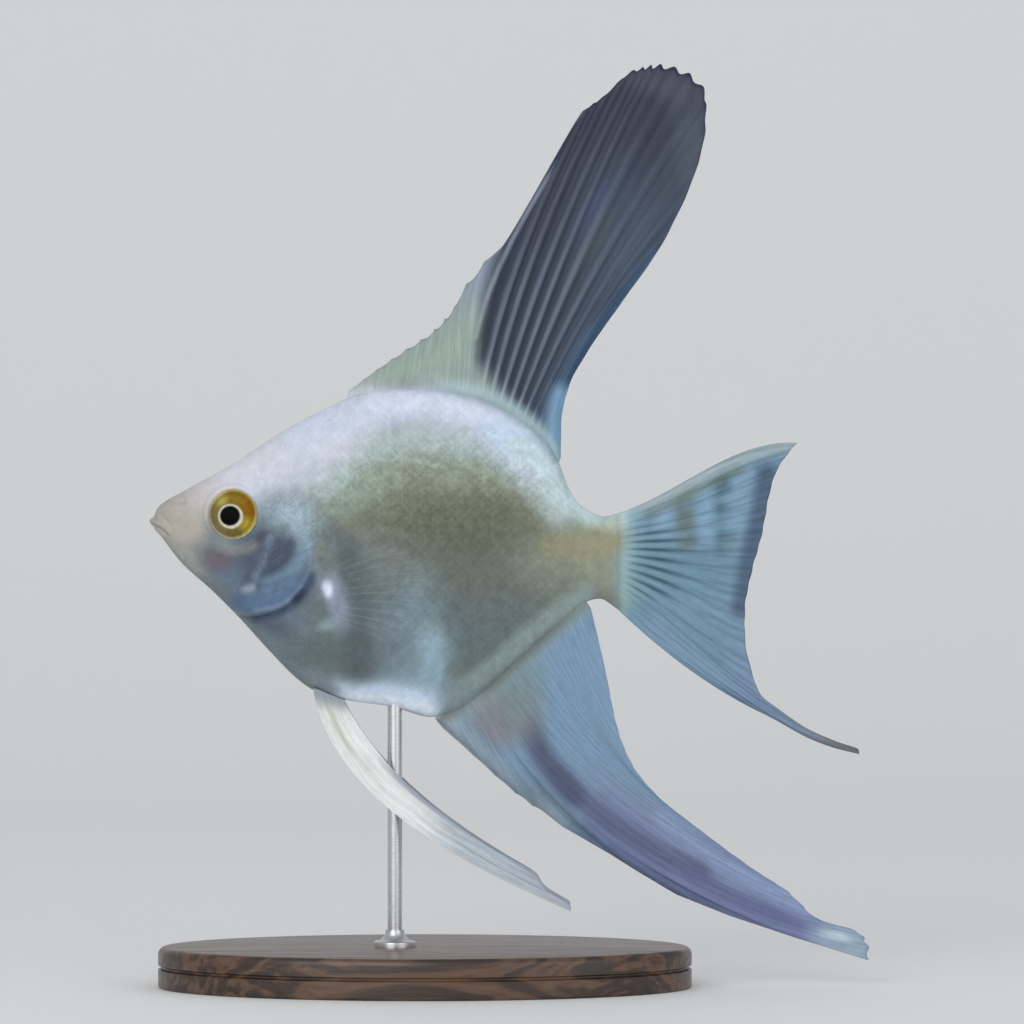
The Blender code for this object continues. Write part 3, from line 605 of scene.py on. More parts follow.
def dorsal_paint(x, z, ray, along, on_ray):
    """Pale green spines ahead, then pale rays on navy membrane, and a blue rear edge."""
    paint = Paint(x, z, (52, 66, 86))
    past = DORSAL_DARK_EDGE.near(x, z, 30.0)[0]
    clear_ray = np.cos(math.pi * ray / 2) ** 6  # every other ray
    soft = rise(past - 1.2 * clear_ray, -2.6, 2.2)
    paint.lay((40, 46, 62), rise(ray, 21.0, 13.0) * rise(along, 0.1, 0.3) * soft)
    paint.lay((41, 47, 66), rise(ray, 27.0, 20.0) * rise(along, 0.62, 0.8) * soft)
    paint.spot((66, 76, 116), (75.5, 52.5), (6, 1.7), 0.75, tilt=60)
    paint.spot((60, 66, 104), (66.5, 39), (5, 1.3), 0.6, tilt=62)
    paint.spot((84, 97, 94), (75, 46.5), (7, 1.6), 0.6, tilt=58)
    paint.spot((62, 80, 97), (82.5, 46), (7.5, 2.4), 0.6, tilt=55)
    paint.stroke((72, 98, 126), [(87, 45), (79.5, 35.5), (73.5, 28.5), (70, 20)], 1.6)
    paint.stroke((138, 178, 208), [(70.5, 21.5), (69.5, 17), (69.4, 12.5)], 1.9, 0.9, 0.9)
    paint.spot((68, 72, 86), (88.5, 74.8), (6.5, 2.3), tilt=-15)
    paint.spot((68, 76, 92), (93, 64), (2.8, 10), 0.7, tilt=12)
    front = rise(ray, 27.0, 18.0) * soft
    paint.lay((34, 44, 58), 0.85 * front * rise(along, 0.75, 0.3) * (1 - clear_ray))
    paint.lay((134, 144, 158), 0.85 * clear_ray * front * rise(along, 0.7, 0.25))
    paint.lay((82, 90, 106), 0.6 * clear_ray * soft * rise(ray, 30.0, 16.0) * rise(along, 0.95, 0.7))
    leading = [(55.6, 31.5), (57.3, 37.5), (60.4, 45.2), (63.6, 51.5), (68.2, 59.5)]
    paint.stroke((146, 154, 168), leading, 0.4, 0.75)
    paint.lay((132, 146, 148), 0.6 * soft * rise(along, 0.96, 1.0) * rise(ray, 12.5, 11.8))
    spiny = 1 - soft
    paint.lay((144, 158, 155), spiny)
    paint.lay((158, 152, 156), 0.7 * spiny * rise(ray, 4.0, 1.0))
    paint.lay((148, 170, 156), spiny * bump(along, 0.45, 0.3) * 0.7)
    paint.lay((136, 148, 178), spiny * rise(ray, 8.0, 10.8) * rise(along, 0.55, 0.9) * 0.9)
    paint.lay((168, 182, 178), spiny * on_ray * 0.3)
    paint.lay((118, 130, 124), spiny * rise(along, 0.9, 1.0) * 0.5)
    return paint


def anal_paint(x, z, ray, along, on_ray):
    """A blue fin with navy streaks, a violet rear and a pale tip."""
    paint = Paint(x, z, (124, 153, 180))
    paint.spot((126, 139, 170), (95, -59.5), (26, 6), 0.95, 0.5, tilt=-33)
    rear = [(77, -22.5), (79, -32), (84, -44), (92.5, -51.5)]
    paint.stroke((130, 158, 186), rear, 2, 0.6)
    violet = [(77, -51.5), (87, -59.5), (99.5, -66.5), (111.5, -70)]
    paint.stroke((112, 122, 160), violet, 3.4, 0.9)
    navy = [(70, -44), (77.5, -51), (86, -56.5), (94.5, -60.5)]
    paint.stroke((92, 99, 130), navy, 1.6)
    paint.stroke((80, 88, 113), [(64.5, -35), (67.5, -41), (72.5, -47.5)], 1.9, 0.9)
    paint.stroke((100, 103, 143), [(92.5, -60.5), (103.5, -66.5), (112, -69.5)], 1, 0.6)
    paint.stroke((142, 160, 196), [(88, -51.5), (100, -60), (113.5, -68)], 1.6, 0.7)
    paint.spot((154, 170, 188), (119, -73), (5.5, 2.8), 0.95, 0.5, tilt=-20)
    paint.spot((196, 214, 228), (118, -71.8), (2.6, 0.7), 0.85, 0.7, tilt=-12)
    paint.spot((128, 136, 141), (60.5, -33.5), (6.2, 5), 0.95, 0.6)
    paint.spot((132, 126, 138), (58.5, -35), (2.4, 4), 0.5, 0.9, tilt=20)
    paint.spot((122, 141, 142), (63.5, -29), (3, 5), tilt=-20)
    leading = [(50, -34.5), (56, -41), (63.5, -47.5), (70, -52)]
    paint.stroke((148, 166, 180), leading, 2.2, 0.95, 0.7)
    paint.spot((108, 126, 142), (66, -46.5), (3.4, 2), 0.5, tilt=-40)
    soft = rise(ray, 5.2, 6.4)
    paint.lay(paint.rgb * 0.92, 0.6 * on_ray * soft * rise(along, 0.02, 0.1))
    paint.lay(paint.rgb * 1.05, on_ray * (1 - soft))
    return paint


CAUDAL_BARS = [  # the blue bars across the upper lobe, from front to rear
    [(88.0, 1.8), (88.2, -2.2)],
    [(95.0, 5.6), (95.6, -2.4)],
    [(102.2, 7.3), (101.2, 6.9)],
    [(101.6, 4.0), (100.0, 3.4)],
    [(101.0, 0.2), (99.4, -0.4)],
]


def caudal_paint(x, z, ray, along, on_ray):
    """A pale base, teal streaks between the rays, blue bars, and a navy rear edge."""
    paint = Paint(x, z, (116, 147, 170))
    paint.stroke((112, 144, 164), [(84, -14), (92.5, -20.5), (101, -27.5)], 3.8, 0.9)
    paint.stroke((126, 154, 180), [(86, -18.5), (94.5, -25.5), (102, -30.5)], 1.8)
    paint.stroke((124, 145, 178), [(102, -24), (103.5, -31), (107.5, -33.5)], 2.4, 0.7)
    paint.spot((104, 140, 158), (94.5, -8), (9.5, 4.2), 0.6, tilt=-8)
    paint.stroke((100, 116, 112), [(91.6, 4.5), (91.8, -3.5)], 1.7)
    paint.stroke((76, 106, 120), [(98.2, 6.5), (98.4, 0.5), (98.8, -4.5)], 1.6, 0.75)
    for bar in CAUDAL_BARS:
        paint.stroke((132, 166, 192), bar, 1.5, 0.85, 0.95)
    paint.spot((128, 158, 178), (99.5, -4.5), (1.5, 1.8), 0.5)
    for blotch in [(92.6, 2.6), (98.0, 3.6), (91.0, -2.6), (97.4, -0.8)]:
        paint.spot((124, 156, 178), blotch, (1.6, 0.8), 0.5, tilt=8)
    navy_edge = [(106, 8), (104.8, 1), (103, -6.5), (101.5, -15)]
    paint.stroke((72, 92, 116), navy_edge, 1.6, 0.85)
    paint.stroke((108, 126, 118), [(85.5, 1.2), (93, 5), (101, 9)], 1, 0.6)
    upper_edge = [(80, 1), (88, 4.2), (98, 9.3), (105, 12), (110.5, 13.2)]
    paint.stroke((165, 181, 183), upper_edge, 1.1, 0.85, 0.9)
    paint.spot((144, 174, 182), (81.8, -3.5), (2.2, 7))
    paint.spot((136, 164, 168), (81.5, -12), (3, 2.8), 0.8, 0.7)
    streaks = bump(x, 87.0, 4.2) * rise(z, 0.0, -3.0) * rise(z, -15.0, -11.0)
    dark_ray = np.cos(math.pi * ray) ** 4
    paint.lay((118, 152, 166), 0.6 * streaks * (1 - dark_ray))
    paint.lay((46, 82, 98), 0.9 * streaks * dark_ray)
    paint.lay(paint.rgb * 0.86, 0.7 * on_ray * rise(along, 0.05, 0.15))
    trail = rise(x, 105.0, 116.0) * rise(ray, 12.0, 12.6)
    paint.lay((124, 134, 152), trail)
    paint.lay((104, 107, 110), rise(x, 112.0, 120.0) * trail)
    return paint


def pelvic_paint(x, z, ray, along, on_ray):
    """A white fin, tan along its front ray, greyer behind and towards its tip."""
    paint = Paint(x, z, (240, 243, 242))
    paint.lay((226, 230, 224), rise(along, 0.12, 0.0))
    paint.lay((198, 197, 182), 0.6 * bump(ray, 1.4, 0.5) * rise(along, 0.4, 0.1))
    paint.lay((150, 156, 170), 0.85 * rise(ray, 2.6, 3.8) * rise(along, 0.2, 0.4))
    paint.lay((178, 190, 200), 0.85 * rise(along, 0.45, 0.7))
    paint.lay((176, 182, 196), 0.8 * rise(along, 0.85, 1.0))
    paint.lay(paint.rgb * 0.93, 0.8 * (1 - on_ray))
    return paint


IRIS_SECTORS = [  # (colour, direction, half spread) in degrees: 0 ahead, 90 up, 180 behind, -90 below
    ((178, 176, 96), 45, 34), ((132, 106, 32), 100, 34), ((132, 88, 10), 165, 44),
    ((180, 160, 52), -140, 30), ((96, 96, 60), -92, 34), ((112, 108, 72), 0, 34),
    ((122, 118, 92), -45, 30),
]


def eye_paint(x, z):
    """The iris and pupil of an eye, from its own middle."""
    paint = Paint(x, z, (168, 128, 32))
    from_middle = np.hypot(x, z)
    angle = np.degrees(np.arctan2(z, -x))
    for colour, towards, spread in IRIS_SECTORS:
        off = np.abs((angle - towards + 180) % 360 - 180)
        paint.lay(colour, 0.9 * rise(off, spread * 1.4, spread * 0.3))
    paint.lay((96, 86, 44), 0.4 * bump(from_middle, 3.5, 0.35))
    paint.lay((190, 180, 150), 0.7 * rise(from_middle, 3.75, 4.15))
    paint.spot((112, 98, 52), (-0.3, -0.35), (2.75, 2.6), 0.6, 0.3)
    paint.spot((206, 204, 184), (-0.25, -0.45), (2.25, 2.1), 1, 0.1, tilt=-20)
    paint.spot((3, 3, 6), (-0.35, -0.35), (1.74, 1.66), 1, 0.12)
    return paint


def linear(rgb):
    """sRGB colours from 0 to 255 as the linear ones that a mesh stores."""
    rgb = np.clip(rgb, 0, 255) / 255
    return np.where(rgb <= 0.04045, rgb / 12.92, ((rgb + 0.055) / 1.055) ** 2.4)


def body_wash(x, z):
    """Masks of the skin's fine detail: mottling, dark specks, and fin streaks (none on the body)."""
    masks = Paint(x, z, (0.35, 0.0, 0.0))
    masks.spot((1, 0.8, 0), (49, 4), (21, 9.5), 1, 0.5)
    masks.spot((0.9, 1, 0), (23.5, -2.5), (7.5, 7), 0.9, 0.6)
    masks.spot((0.8, 0.35, 0), (50, -13), (23, 10), 0.7, 0.6)
    masks.spot((0.25, 0, 0), (19, 12), (19, 6), 0.9, 0.5, tilt=25)
    return masks.rgb


# ---- meshes
def new_object(name, data):
    """A mesh, camera or lamp put into the scene."""
    obj = bpy.data.objects.new(name, data)
    bpy.context.scene.collection.objects.link(obj)
    return obj


def new_mesh(name, points, faces, material, turn=True):
    """A smooth mesh of one material. turn makes the faces of a closed one point outwards."""
    mesh = bpy.data.meshes.new(name)
    mesh.from_pydata(points, [], faces)
    if turn:
        shape = bmesh.new()
        shape.from_mesh(mesh)
        bmesh.ops.recalc_face_normals(shape, faces=shape.faces)
        shape.to_mesh(mesh)
        shape.free()
    mesh.materials.append(material)
    mesh.shade_smooth()
    return mesh


class Shell:
    """Collects the points of one mesh, with their colours and texture places, and its faces."""

    def __init__(self):
        # Places in metres, colours, masks for the material, places along the grain, and the unwrap.
        self.blocks = {"place": [], "tint": [], "wash": [], "lie": [], "flat": []}
        self.count = 0
        self.faces = []

    def add(self, place, tint, wash, lie, flat):
        """Adds points and gives their numbers, in the shape of their own grid."""
        shape = place.shape[:-1]
        for name, values in zip(self.blocks, (place, tint, wash, lie, flat)):
            width = 2 if name == "flat" else 3
            self.blocks[name].append(np.broadcast_to(values, (*shape, width)).reshape(-1, width))
        size = int(np.prod(shape))
        numbers = np.arange(self.count, self.count + size).reshape(shape)
        self.count += size
        return numbers

    def weave(self, numbers):
        """Quads over a grid of point numbers."""
        corners = (numbers[:-1, :-1], numbers[:-1, 1:], numbers[1:, 1:], numbers[1:, :-1])
        self.faces += np.stack(corners, axis=-1).reshape(-1, 4).tolist()

    def join(self, one, other):
        """A strip of quads between two rows of point numbers."""
        self.weave(np.stack([one, other]))

    def make(self, name, material, map_name="OFBake", turn=True):
        """The piece itself. turn is off where the faces already point outwards."""
        place, tint, wash, lie, flat = (np.concatenate(block) for block in self.blocks.values())
        mesh = new_mesh(name, place.tolist(), self.faces, material, turn)
        ones = np.ones((len(place), 1))
        for label, values in (("Tint", linear(tint)), ("Wash", wash)):
            layer = mesh.attributes.new(label, "FLOAT_COLOR", "POINT")
            layer.data.foreach_set("color", np.hstack([values, ones]).astype(np.float32).ravel())
        layer = mesh.attributes.new("Lie", "FLOAT_VECTOR", "POINT")
        layer.data.foreach_set("vector", lie.astype(np.float32).ravel())
        corners = np.empty(len(mesh.loops), dtype=np.int32)
        mesh.loops.foreach_get("vertex_index", corners)
        layer = mesh.uv_layers.new(name=map_name)
        layer.data.foreach_set("uv", flat[corners].astype(np.float32).ravel())
        return new_object(name, mesh)


# The unwrap: both sides of the fish lie side by side, each a little wider than the fish is long.
UNWRAP_SIDE = 131.0
UNWRAP_AHEAD = 3.0  # room ahead of the snout
UNWRAP_UNDER = 90.0  # room below the widest level


def unwrap(x, girth, side):
    """UV places from the way back and the way round the section from its widest level."""
    u = (x + UNWRAP_AHEAD) / (2 * UNWRAP_SIDE)
    v = (girth + UNWRAP_UNDER) / (2 * UNWRAP_SIDE)
    return np.stack(np.broadcast_arrays(u if side < 0 else 1 - u, v), axis=-1)


class Body:
    """The body's skin as one grid for the right side: sections along it, points down each of them."""

    def __init__(self):
        # The snout's rounded tip, and then the sections at their spacings.
        turns = np.radians(np.linspace(9, 81, 9))
        runs = [-SNOUT_ROUND * np.cos(turns)]
        for start, end, spacing in STATION_RUNS:
            runs.append(np.linspace(start, end, round((end - start) / spacing) + 1)[:-1])
        self.x = np.concatenate([*runs, [STANDARD_LENGTH]])
        # The rows lie closer together towards the back and belly, where a section turns most sharply.
        way = np.linspace(0.0, 1.0, RING_STEPS + 1)
        self.share = 0.65 * np.cos(math.pi * way) + 0.35 * (1 - 2 * way)
        x, y, z = skin_point(self.x[:, None], self.share[None, :])
        places = np.stack([x, y, z], axis=-1)
        self.normals = grid_normals(places)
        self.places = places + self.normals * sculpt(x, z)[..., None]
        self.normals = grid_normals(self.places)
        steps = np.linalg.norm(np.diff(places, axis=1), axis=-1)
        way_round = np.concatenate([np.zeros((len(self.x), 1)), np.cumsum(steps, axis=1)], axis=1)
        self.girth = way_round[:, RING_STEPS // 2 : RING_STEPS // 2 + 1] - way_round

    def station(self, x):
        """The number of the section at x, with its fraction."""
        return np.interp(x, self.x, np.arange(len(self.x)))

    def on(self, station, row):
        """Place and normal on the right side at fractional section and row numbers."""
        station = np.clip(station, 0, len(self.x) - 1.001)
        row = np.clip(row, 0, RING_STEPS - 0.001)
        k, i = station.astype(int), row.astype(int)
        s, t = (station - k)[..., None], (row - i)[..., None]
        found = []
        for grid in (self.places, self.normals):
            near = grid[k, i] * (1 - t) + grid[k, i + 1] * t
            far = grid[k + 1, i] * (1 - t) + grid[k + 1, i + 1] * t
            found.append(near * (1 - s) + far * s)
        return found


def grid_normals(places):
    """Outward normals of a right-side grid of sections and rows."""
    normals = np.cross(np.gradient(places, axis=0), np.gradient(places, axis=1))
    return normals / np.maximum(np.linalg.norm(normals, axis=-1, keepdims=True), 1e-9)


def mirrored(places, side):
    """Places on the right side in mm, put into the frame on either side."""
    return in_metres(places[..., 0], side * places[..., 1], places[..., 2])


# ---- skin
STEP_SLANT = 1.6  # makes a step 0.62 of spine_notch deep, two thirds of the way to the next spine


def notches(depths, first_soft, spine_notch):
    """A function that gives the share of its length that the membrane lacks between rays: steps of
    spine_notch between the spines, and between soft rays as the (ray, mm) depths say."""
    depth = smooth(depths)

    def lack(ray, length):
        fraction = ray - np.floor(ray)
        spiny = spine_notch * fraction * (1 - fraction) ** 0.5 * STEP_SLANT
        soft = depth(ray) * np.sin(math.pi * fraction) ** 2 / length
        return np.where(ray < first_soft, spiny, soft)

    return lack


RAY_WIDTH = (0.24, 0.06)  # half width of a ray's ridge at the body, and what it loses on its way out
RAY_SHARE = 0.14  # it is at least this share of the distance between two rays
RAY_SPLIT = 0.2  # share of that distance to which the halves of a split soft ray part
RIDGE_FADE = 24.0  # reach over which the ridges sink to about a third
EDGE_THINNING = 0.6  # share of its thickness that a fin loses at its very edge
ROOT_REACH = 2.2  # reach over which the thickening at the body sinks to about a third
PLEAT = 0.04  # depth of the membrane's waves between soft rays


class Sheet:
    """A fin's two faces as grids: columns along its base, rows out along its rays. root is its half
    thickness at the body, and reach the distance from there."""

    def __init__(self, fin, rays, rows, root, lack, first_soft, thin=0.1, ridge=0.05, start=0.0):
        self.rays = rays
        ray = rays[:, None]
        along = np.linspace(start, 1.0, rows + 1)[None, :]
        x0, z0 = fin.start(ray)
        length = np.maximum(np.hypot(fin.end_x(ray) - x0, fin.end_z(ray) - z0), 0.5)
        kept = along * (1 - lack(ray, length) * np.abs(along) ** 4)
        x, y, z = fin.point(ray, kept)
        self.x, self.z = x, z
        self.ray, self.along = np.broadcast_arrays(ray, along)
        out = np.stack([np.gradient(x, axis=1), np.gradient(z, axis=1)])
        over = np.stack([np.gradient(x, rays, axis=0), np.gradient(z, rays, axis=0)])
        spacing = np.abs(over[0] * out[1] - over[1] * out[0]) / np.maximum(np.hypot(*out), 1e-6)
        steps = np.hypot(np.diff(x, axis=1), np.diff(z, axis=1))
        self.reach = np.concatenate([np.zeros((len(rays), 1)), np.cumsum(steps, axis=1)], axis=1)

        soft = rise(self.ray, first_soft - 0.6, first_soft)
        off = np.abs(self.ray - np.round(self.ray)) * spacing
        split = soft * RAY_SPLIT * spacing * rise(self.along, 0.45, 0.85)
        width = np.maximum(RAY_WIDTH[0] - RAY_WIDTH[1] * self.along, RAY_SHARE * spacing)
        self.on_ray = np.exp(-(((off - split) / (0.7 * width)) ** 2))
        height = ridge * np.exp(-self.reach / RIDGE_FADE) * (1 + 0.5 * (1 - soft))
        half = thin + height * self.on_ray
        half *= 1 - EDGE_THINNING * rise(self.along, 0.97, 1.0)
        into = np.exp(-((self.reach / ROOT_REACH) ** 0.8))
        self.half = half + (np.broadcast_to(root, rays.shape)[:, None] - half) * into
        pleat = PLEAT * np.cos(2 * math.pi * self.ray) * soft * rise(self.reach, 1.0, 8.0)
        self.middle = y + pleat

    def places(self, face):
        """Places of one face: 1 is the far side's, and -1 the near side's."""
        return np.stack([self.x, self.middle + face * self.half, self.z], axis=-1)

    def lie(self):
        """Texture places that run with the rays: across them, and slowly along them."""
        return np.stack([self.ray, 0.035 * self.reach, 0.0 * self.ray], axis=-1)

    def blended(self, paint):
        """The fin's colours, grown out of the body's at its base, and lightened near the root as painted
        light against the shade of the crease there.
        """
        grown = body_paint(self.x, self.z)
        grown.lay(paint.rgb, rise(self.reach, 0.0, 3.2))
        # Painted light: a band near the root is lightened a little, against the shade where fin and body
        # meet.
        pale = rise(self.reach, 0.0, 1.2) * rise(self.reach, 3.5, 1.2)
        grown.lay(np.minimum(1.1 * grown.rgb, 250.0), pale)
        return grown.rgb


FIN_WASH = (0.2, 0.0, 1.0)  # little mottling, no specks, full streaks


def add_sheet(shell, sheet, paint, roots, excess):
    """Adds a fin that grows from two rows of points that the shell has, and closes its borders."""
    tint = sheet.blended(paint(sheet.x, sheet.z, sheet.ray, sheet.along, sheet.on_ray))
    grids = {}
    for face in (-1, 1):
        keep = (slice(None), slice(1, None))
        flat = unwrap(sheet.x, sheet.z + excess[:, None], face)
        numbers = shell.add(
            in_metres(*np.moveaxis(sheet.places(face)[keep], -1, 0)),
            tint[keep], FIN_WASH, sheet.lie()[keep], flat[keep],
        )
        grids[face] = np.hstack([roots[face][:, None], numbers])
        shell.weave(grids[face])
    near, far = grids[-1], grids[1]
    shell.join(near[0], far[0])
    shell.join(near[-1], far[-1])
    shell.join(near[:, -1], far[:, -1])


def base_columns(body, first, last):
    """The x of a fin's columns along an edge of the body, and which of them are the body's own."""
    start, end = (int(round(float(body.station(x)))) for x in (first, last))
    fine = np.arange(start * BASE_STEPS, end * BASE_STEPS + 1)
    x = np.interp(fine / BASE_STEPS, np.arange(len(body.x)), body.x)
    return start, end, x, fine % BASE_STEPS == 0


def inner_row(row):
    """The row next to the back's, 0, or to the belly's."""
    return 1 if row == 0 else RING_STEPS - 1


def add_edge(shell, body, numbers, row, edge_of, level_of, first, last):
    """Adds the points between the body's sections along its back or belly, where a fin grows, and the
    faces that reach them. Gives the rows of numbers for both sides, the columns' x, and the first and
    last station."""
    start, end, x, own = base_columns(body, first, last)
    roots = {}
    for side in (-1, 1):
        extra = x[~own]
        level = level_of(extra)
        places = in_metres(extra, side * edge_of(extra), level)
        girth = np.interp(extra, body.x, body.girth[:, row])
        lie = np.stack([extra, girth, 0 * extra], axis=-1)
        tint, wash = body_paint(extra, level).rgb, body_wash(extra, level)
        new = shell.add(places, tint, wash, lie, unwrap(extra, girth, side))
        line = np.empty(len(x), dtype=int)
        line[own] = numbers[side][start : end + 1, row]
        line[~own] = new
        roots[side] = line
        for k in range(start, end):
            along = line[(k - start) * BASE_STEPS : (k - start + 1) * BASE_STEPS + 1].tolist()
            inner = numbers[side][k : k + 2, inner_row(row)].tolist()
            shell.faces.append([*along, *inner[::-1]])
    return roots, x, (start, end)


def rays_at(x, base, last):
    """The ray numbers, with fractions, of columns at x along a fin's base."""
    ray = np.linspace(0, last, 2000)
    return np.interp(x, base(ray), ray)


def add_body(shell, body):
    """The body's grid on both sides, without the quads that border on the dorsal and anal fins."""
    x, z = body.places[..., 0], body.places[..., 2]
    tint = body_paint(x, z).rgb
    wash = body_wash(x, z)
    numbers = {}
    for side in (-1, 1):
        lie = np.stack([x, body.girth, 0 * x], axis=-1)
        flat = unwrap(body.x[:, None], body.girth, side)
        numbers[side] = shell.add(mirrored(body.places, side), tint, wash, lie, flat)
        shell.weave(numbers[side][:, 1:-1])
    shell.faces.append([*numbers[-1][0].tolist(), *numbers[1][0, ::-1].tolist()])
    return numbers


def close_edges(shell, numbers, row, covered):
    """Outside the stations that a fin covers, the outermost quads of both sides and the strip
    between the sides."""
    for run in (slice(0, covered[0] + 1), slice(covered[1], None)):
        for side in (-1, 1):
            shell.join(numbers[side][run, row], numbers[side][run, inner_row(row)])
        shell.join(numbers[-1][run, row], numbers[1][run, row])


def add_blade(shell, fin, rows, side, paint, root_tint, start, root, shift, thin, ridge):
    """Adds a paired fin, closed all round. It begins at start along its rays, below 0 and so inside
    the body, and shift parts its two faces in the unwrap."""
    rays = np.linspace(0, fin.last, 10 * fin.last + 1)
    sheet = Sheet(fin, rays, rows, root, lambda ray, length: 0.0, 0, thin, ridge, start)
    tint = paint(sheet.x, sheet.z, sheet.ray, sheet.along, sheet.on_ray)
    tint.lay(root_tint, rise(sheet.along, 0.05, -0.02))
    grids = {}
    for face in (-1, 1):
        places = sheet.places(face)
        offset = shift if face < 0 else (0.0, 0.0)
        flat = unwrap(sheet.x + offset[0], sheet.z + offset[1], side)
        grids[face] = shell.add(mirrored(places, side), tint.rgb, FIN_WASH, sheet.lie(), flat)
        shell.weave(grids[face])
    near, far = grids[-1], grids[1]
    for border in (np.s_[0], np.s_[-1], np.s_[:, 0], np.s_[:, -1]):
        shell.join(near[border], far[border])


def grow_fin(shell, body, numbers, row, fin, base, edge_of, level_of, rows, lack, first_soft, paint):
    """Adds the fin along the back, row 0, or the belly, and closes the body before and behind it."""
    first, last = base(0), base(fin.last)
    roots, x, covered = add_edge(shell, body, numbers, row, edge_of, level_of, first, last)
    close_edges(shell, numbers, row, covered)
    sheet = Sheet(fin, rays_at(x, base, fin.last), rows, edge_of(x), lack, first_soft)
    excess = np.interp(x, body.x, body.girth[:, row] - body.places[:, row, 2])
    add_sheet(shell, sheet, paint, roots, excess)


# (ray, mm) depths of the notches between soft rays
DORSAL_NOTCHES = [(12, 0.2), (16, 0.5), (19, 0.9), (22, 0.8), (23.5, 0.3), (35, 0.15)]
ANAL_NOTCHES = [(6, 0.2), (8, 0.7), (9.5, 0.4), (12, 0.5), (29, 0.1)]
CAUDAL_NOTCHES = [(0, 0.1), (3, 0.15), (11, 0.12), (12, 0.0), (16, 0.0)]


def build_skin(body, material):
    """The body with the fins that grow from it, and the pelvic fins sunk in it."""
    shell = Shell()
    numbers = add_body(shell, body)
    grow_fin(
        shell, body, numbers, row=0, fin=DORSAL_FIN, base=DORSAL_BASE, edge_of=back_edge, level_of=crest,
        rows=70, lack=notches(DORSAL_NOTCHES, DORSAL_FIRST_SOFT - 2, 0.12), first_soft=DORSAL_FIRST_SOFT,
        paint=dorsal_paint,
    )
    grow_fin(
        shell, body, numbers, row=RING_STEPS, fin=ANAL_FIN, base=ANAL_BASE, edge_of=belly_edge,
        level_of=keel, rows=90, lack=notches(ANAL_NOTCHES, ANAL_FIRST_SOFT, 0.1),
        first_soft=ANAL_FIRST_SOFT, paint=anal_paint,
    )
    last = body.places[-1]
    rays = CAUDAL_LAST_RAY * (last[0, 2] - last[:, 2]) / (last[0, 2] - last[-1, 2])
    lack = notches(CAUDAL_NOTCHES, 0, 0.0)
    sheet = Sheet(CAUDAL_FIN, rays, rows=80, root=last[:, 1], lack=lack, first_soft=0)
    roots = {side: numbers[side][-1] for side in (-1, 1)}
    add_sheet(shell, sheet, caudal_paint, roots, body.girth[-1] - last[:, 2])
    for side in (-1, 1):
        add_blade(
            shell, PELVIC_FIN, 150, side, pelvic_paint, root_tint=(150, 160, 166), start=-0.03,
            root=0.7, shift=(-14.0, -6.0), thin=0.22, ridge=0.14,
        )
    return shell.make("skin", material)


# ---- scales
TURN_SPREAD = 0.05  # radians
SIZE_SPREAD = 0.05
SHADE_SPREAD = 0.012
RANDOM_SEED = 5
COAT_FROM = 3.0  # the coat's first column
COAT_SHORT = 0.5  # how far before the tail fin it stops
COAT_UNWRAP_SHIFT = (3.0, 45.0)
COAT_UNWRAP_SIDE = 90.0
SCALE_PATCH = 0.0015  # half of a scale's width in the unwrap
SCALE_RIM = 10  # points round a scale's rim
SCALE_DOME = 6  # points of the ring on its top
# Length, height and thickness of a scale
LARGE_SCALE = (1.75, 1.85, 0.03)
SMALL_SCALE = (1.2, 1.2, 0.014)


def scale_lattice(body, spacing, pitch, wanted):
    """Staggered roots: x, girth and row number for those that wanted keeps."""
    roots = []
    columns = np.arange(COAT_FROM, STANDARD_LENGTH - COAT_SHORT, spacing)
    for column, x in enumerate(columns):
        station = float(body.station(x))
        k = int(station)
        after = body.girth[min(k + 1, len(body.x) - 1)]
        girth = body.girth[k] * (1 - station + k) + after * (station - k)
        low = math.ceil(girth[-1] / pitch)
        levels = (np.arange(low, girth[0] / pitch) + 0.5 * (column % 2)) * pitch
        levels = levels[(levels < girth[0] - 0.2 * pitch) & (levels > girth[-1] + 0.2 * pitch)]
        rows = np.interp(-levels, -girth, np.arange(RING_STEPS + 1))
        roots += [(x, level, row) for level, row in zip(levels, rows)]
    roots = np.array(roots)
    places = body.on(body.station(roots[:, 0]), roots[:, 2])[0]
    return roots[wanted(places[:, 0], places[:, 2])]


def scale_outline():
    """Points of one scale in its own plane, in halves of its size, and each one's height over the skin
    in shares of its thickness: the top's middle, a ring on it, the rim, and the underside's middle."""
    points = [(0.05, 0, 0.9)]
    for count, size, height in ((SCALE_DOME, 0.55, 0.75), (SCALE_RIM, 1.0, 0.0)):
        for k in range(count):
            turn = 2 * math.pi * k / count
            along, across = math.cos(turn), math.sin(turn)
            blunt = 1 + 0.1 * math.cos(4 * turn)
            tilted = height + size * 0.85 * max(along, -0.6)
            points.append((size * along * blunt, size * across, tilted))
    points.append((0.0, 0.0, -1.3))
    return np.array(points)


def scale_faces():
    """Triangles of one scale, as numbers of its outline's points."""
    dome = list(range(1, 1 + SCALE_DOME))
    rim = list(range(1 + SCALE_DOME, 1 + SCALE_DOME + SCALE_RIM))
    under = 1 + SCALE_DOME + SCALE_RIM
    faces = [(0, dome[k], dome[(k + 1) % SCALE_DOME]) for k in range(SCALE_DOME)]
    faces += [(under, rim[(k + 1) % SCALE_RIM], rim[k]) for k in range(SCALE_RIM)]
    # Walk round both rings together, always stepping on the one that is behind.
    i = j = 0
    while i < SCALE_DOME or j < SCALE_RIM:
        inner, outer = dome[i % SCALE_DOME], rim[j % SCALE_RIM]
        if i / SCALE_DOME < j / SCALE_RIM:
            faces.append((inner, outer, dome[(i + 1) % SCALE_DOME]))
            i += 1
        else:
            faces.append((inner, outer, rim[(j + 1) % SCALE_RIM]))
            j += 1
    return np.array(faces)


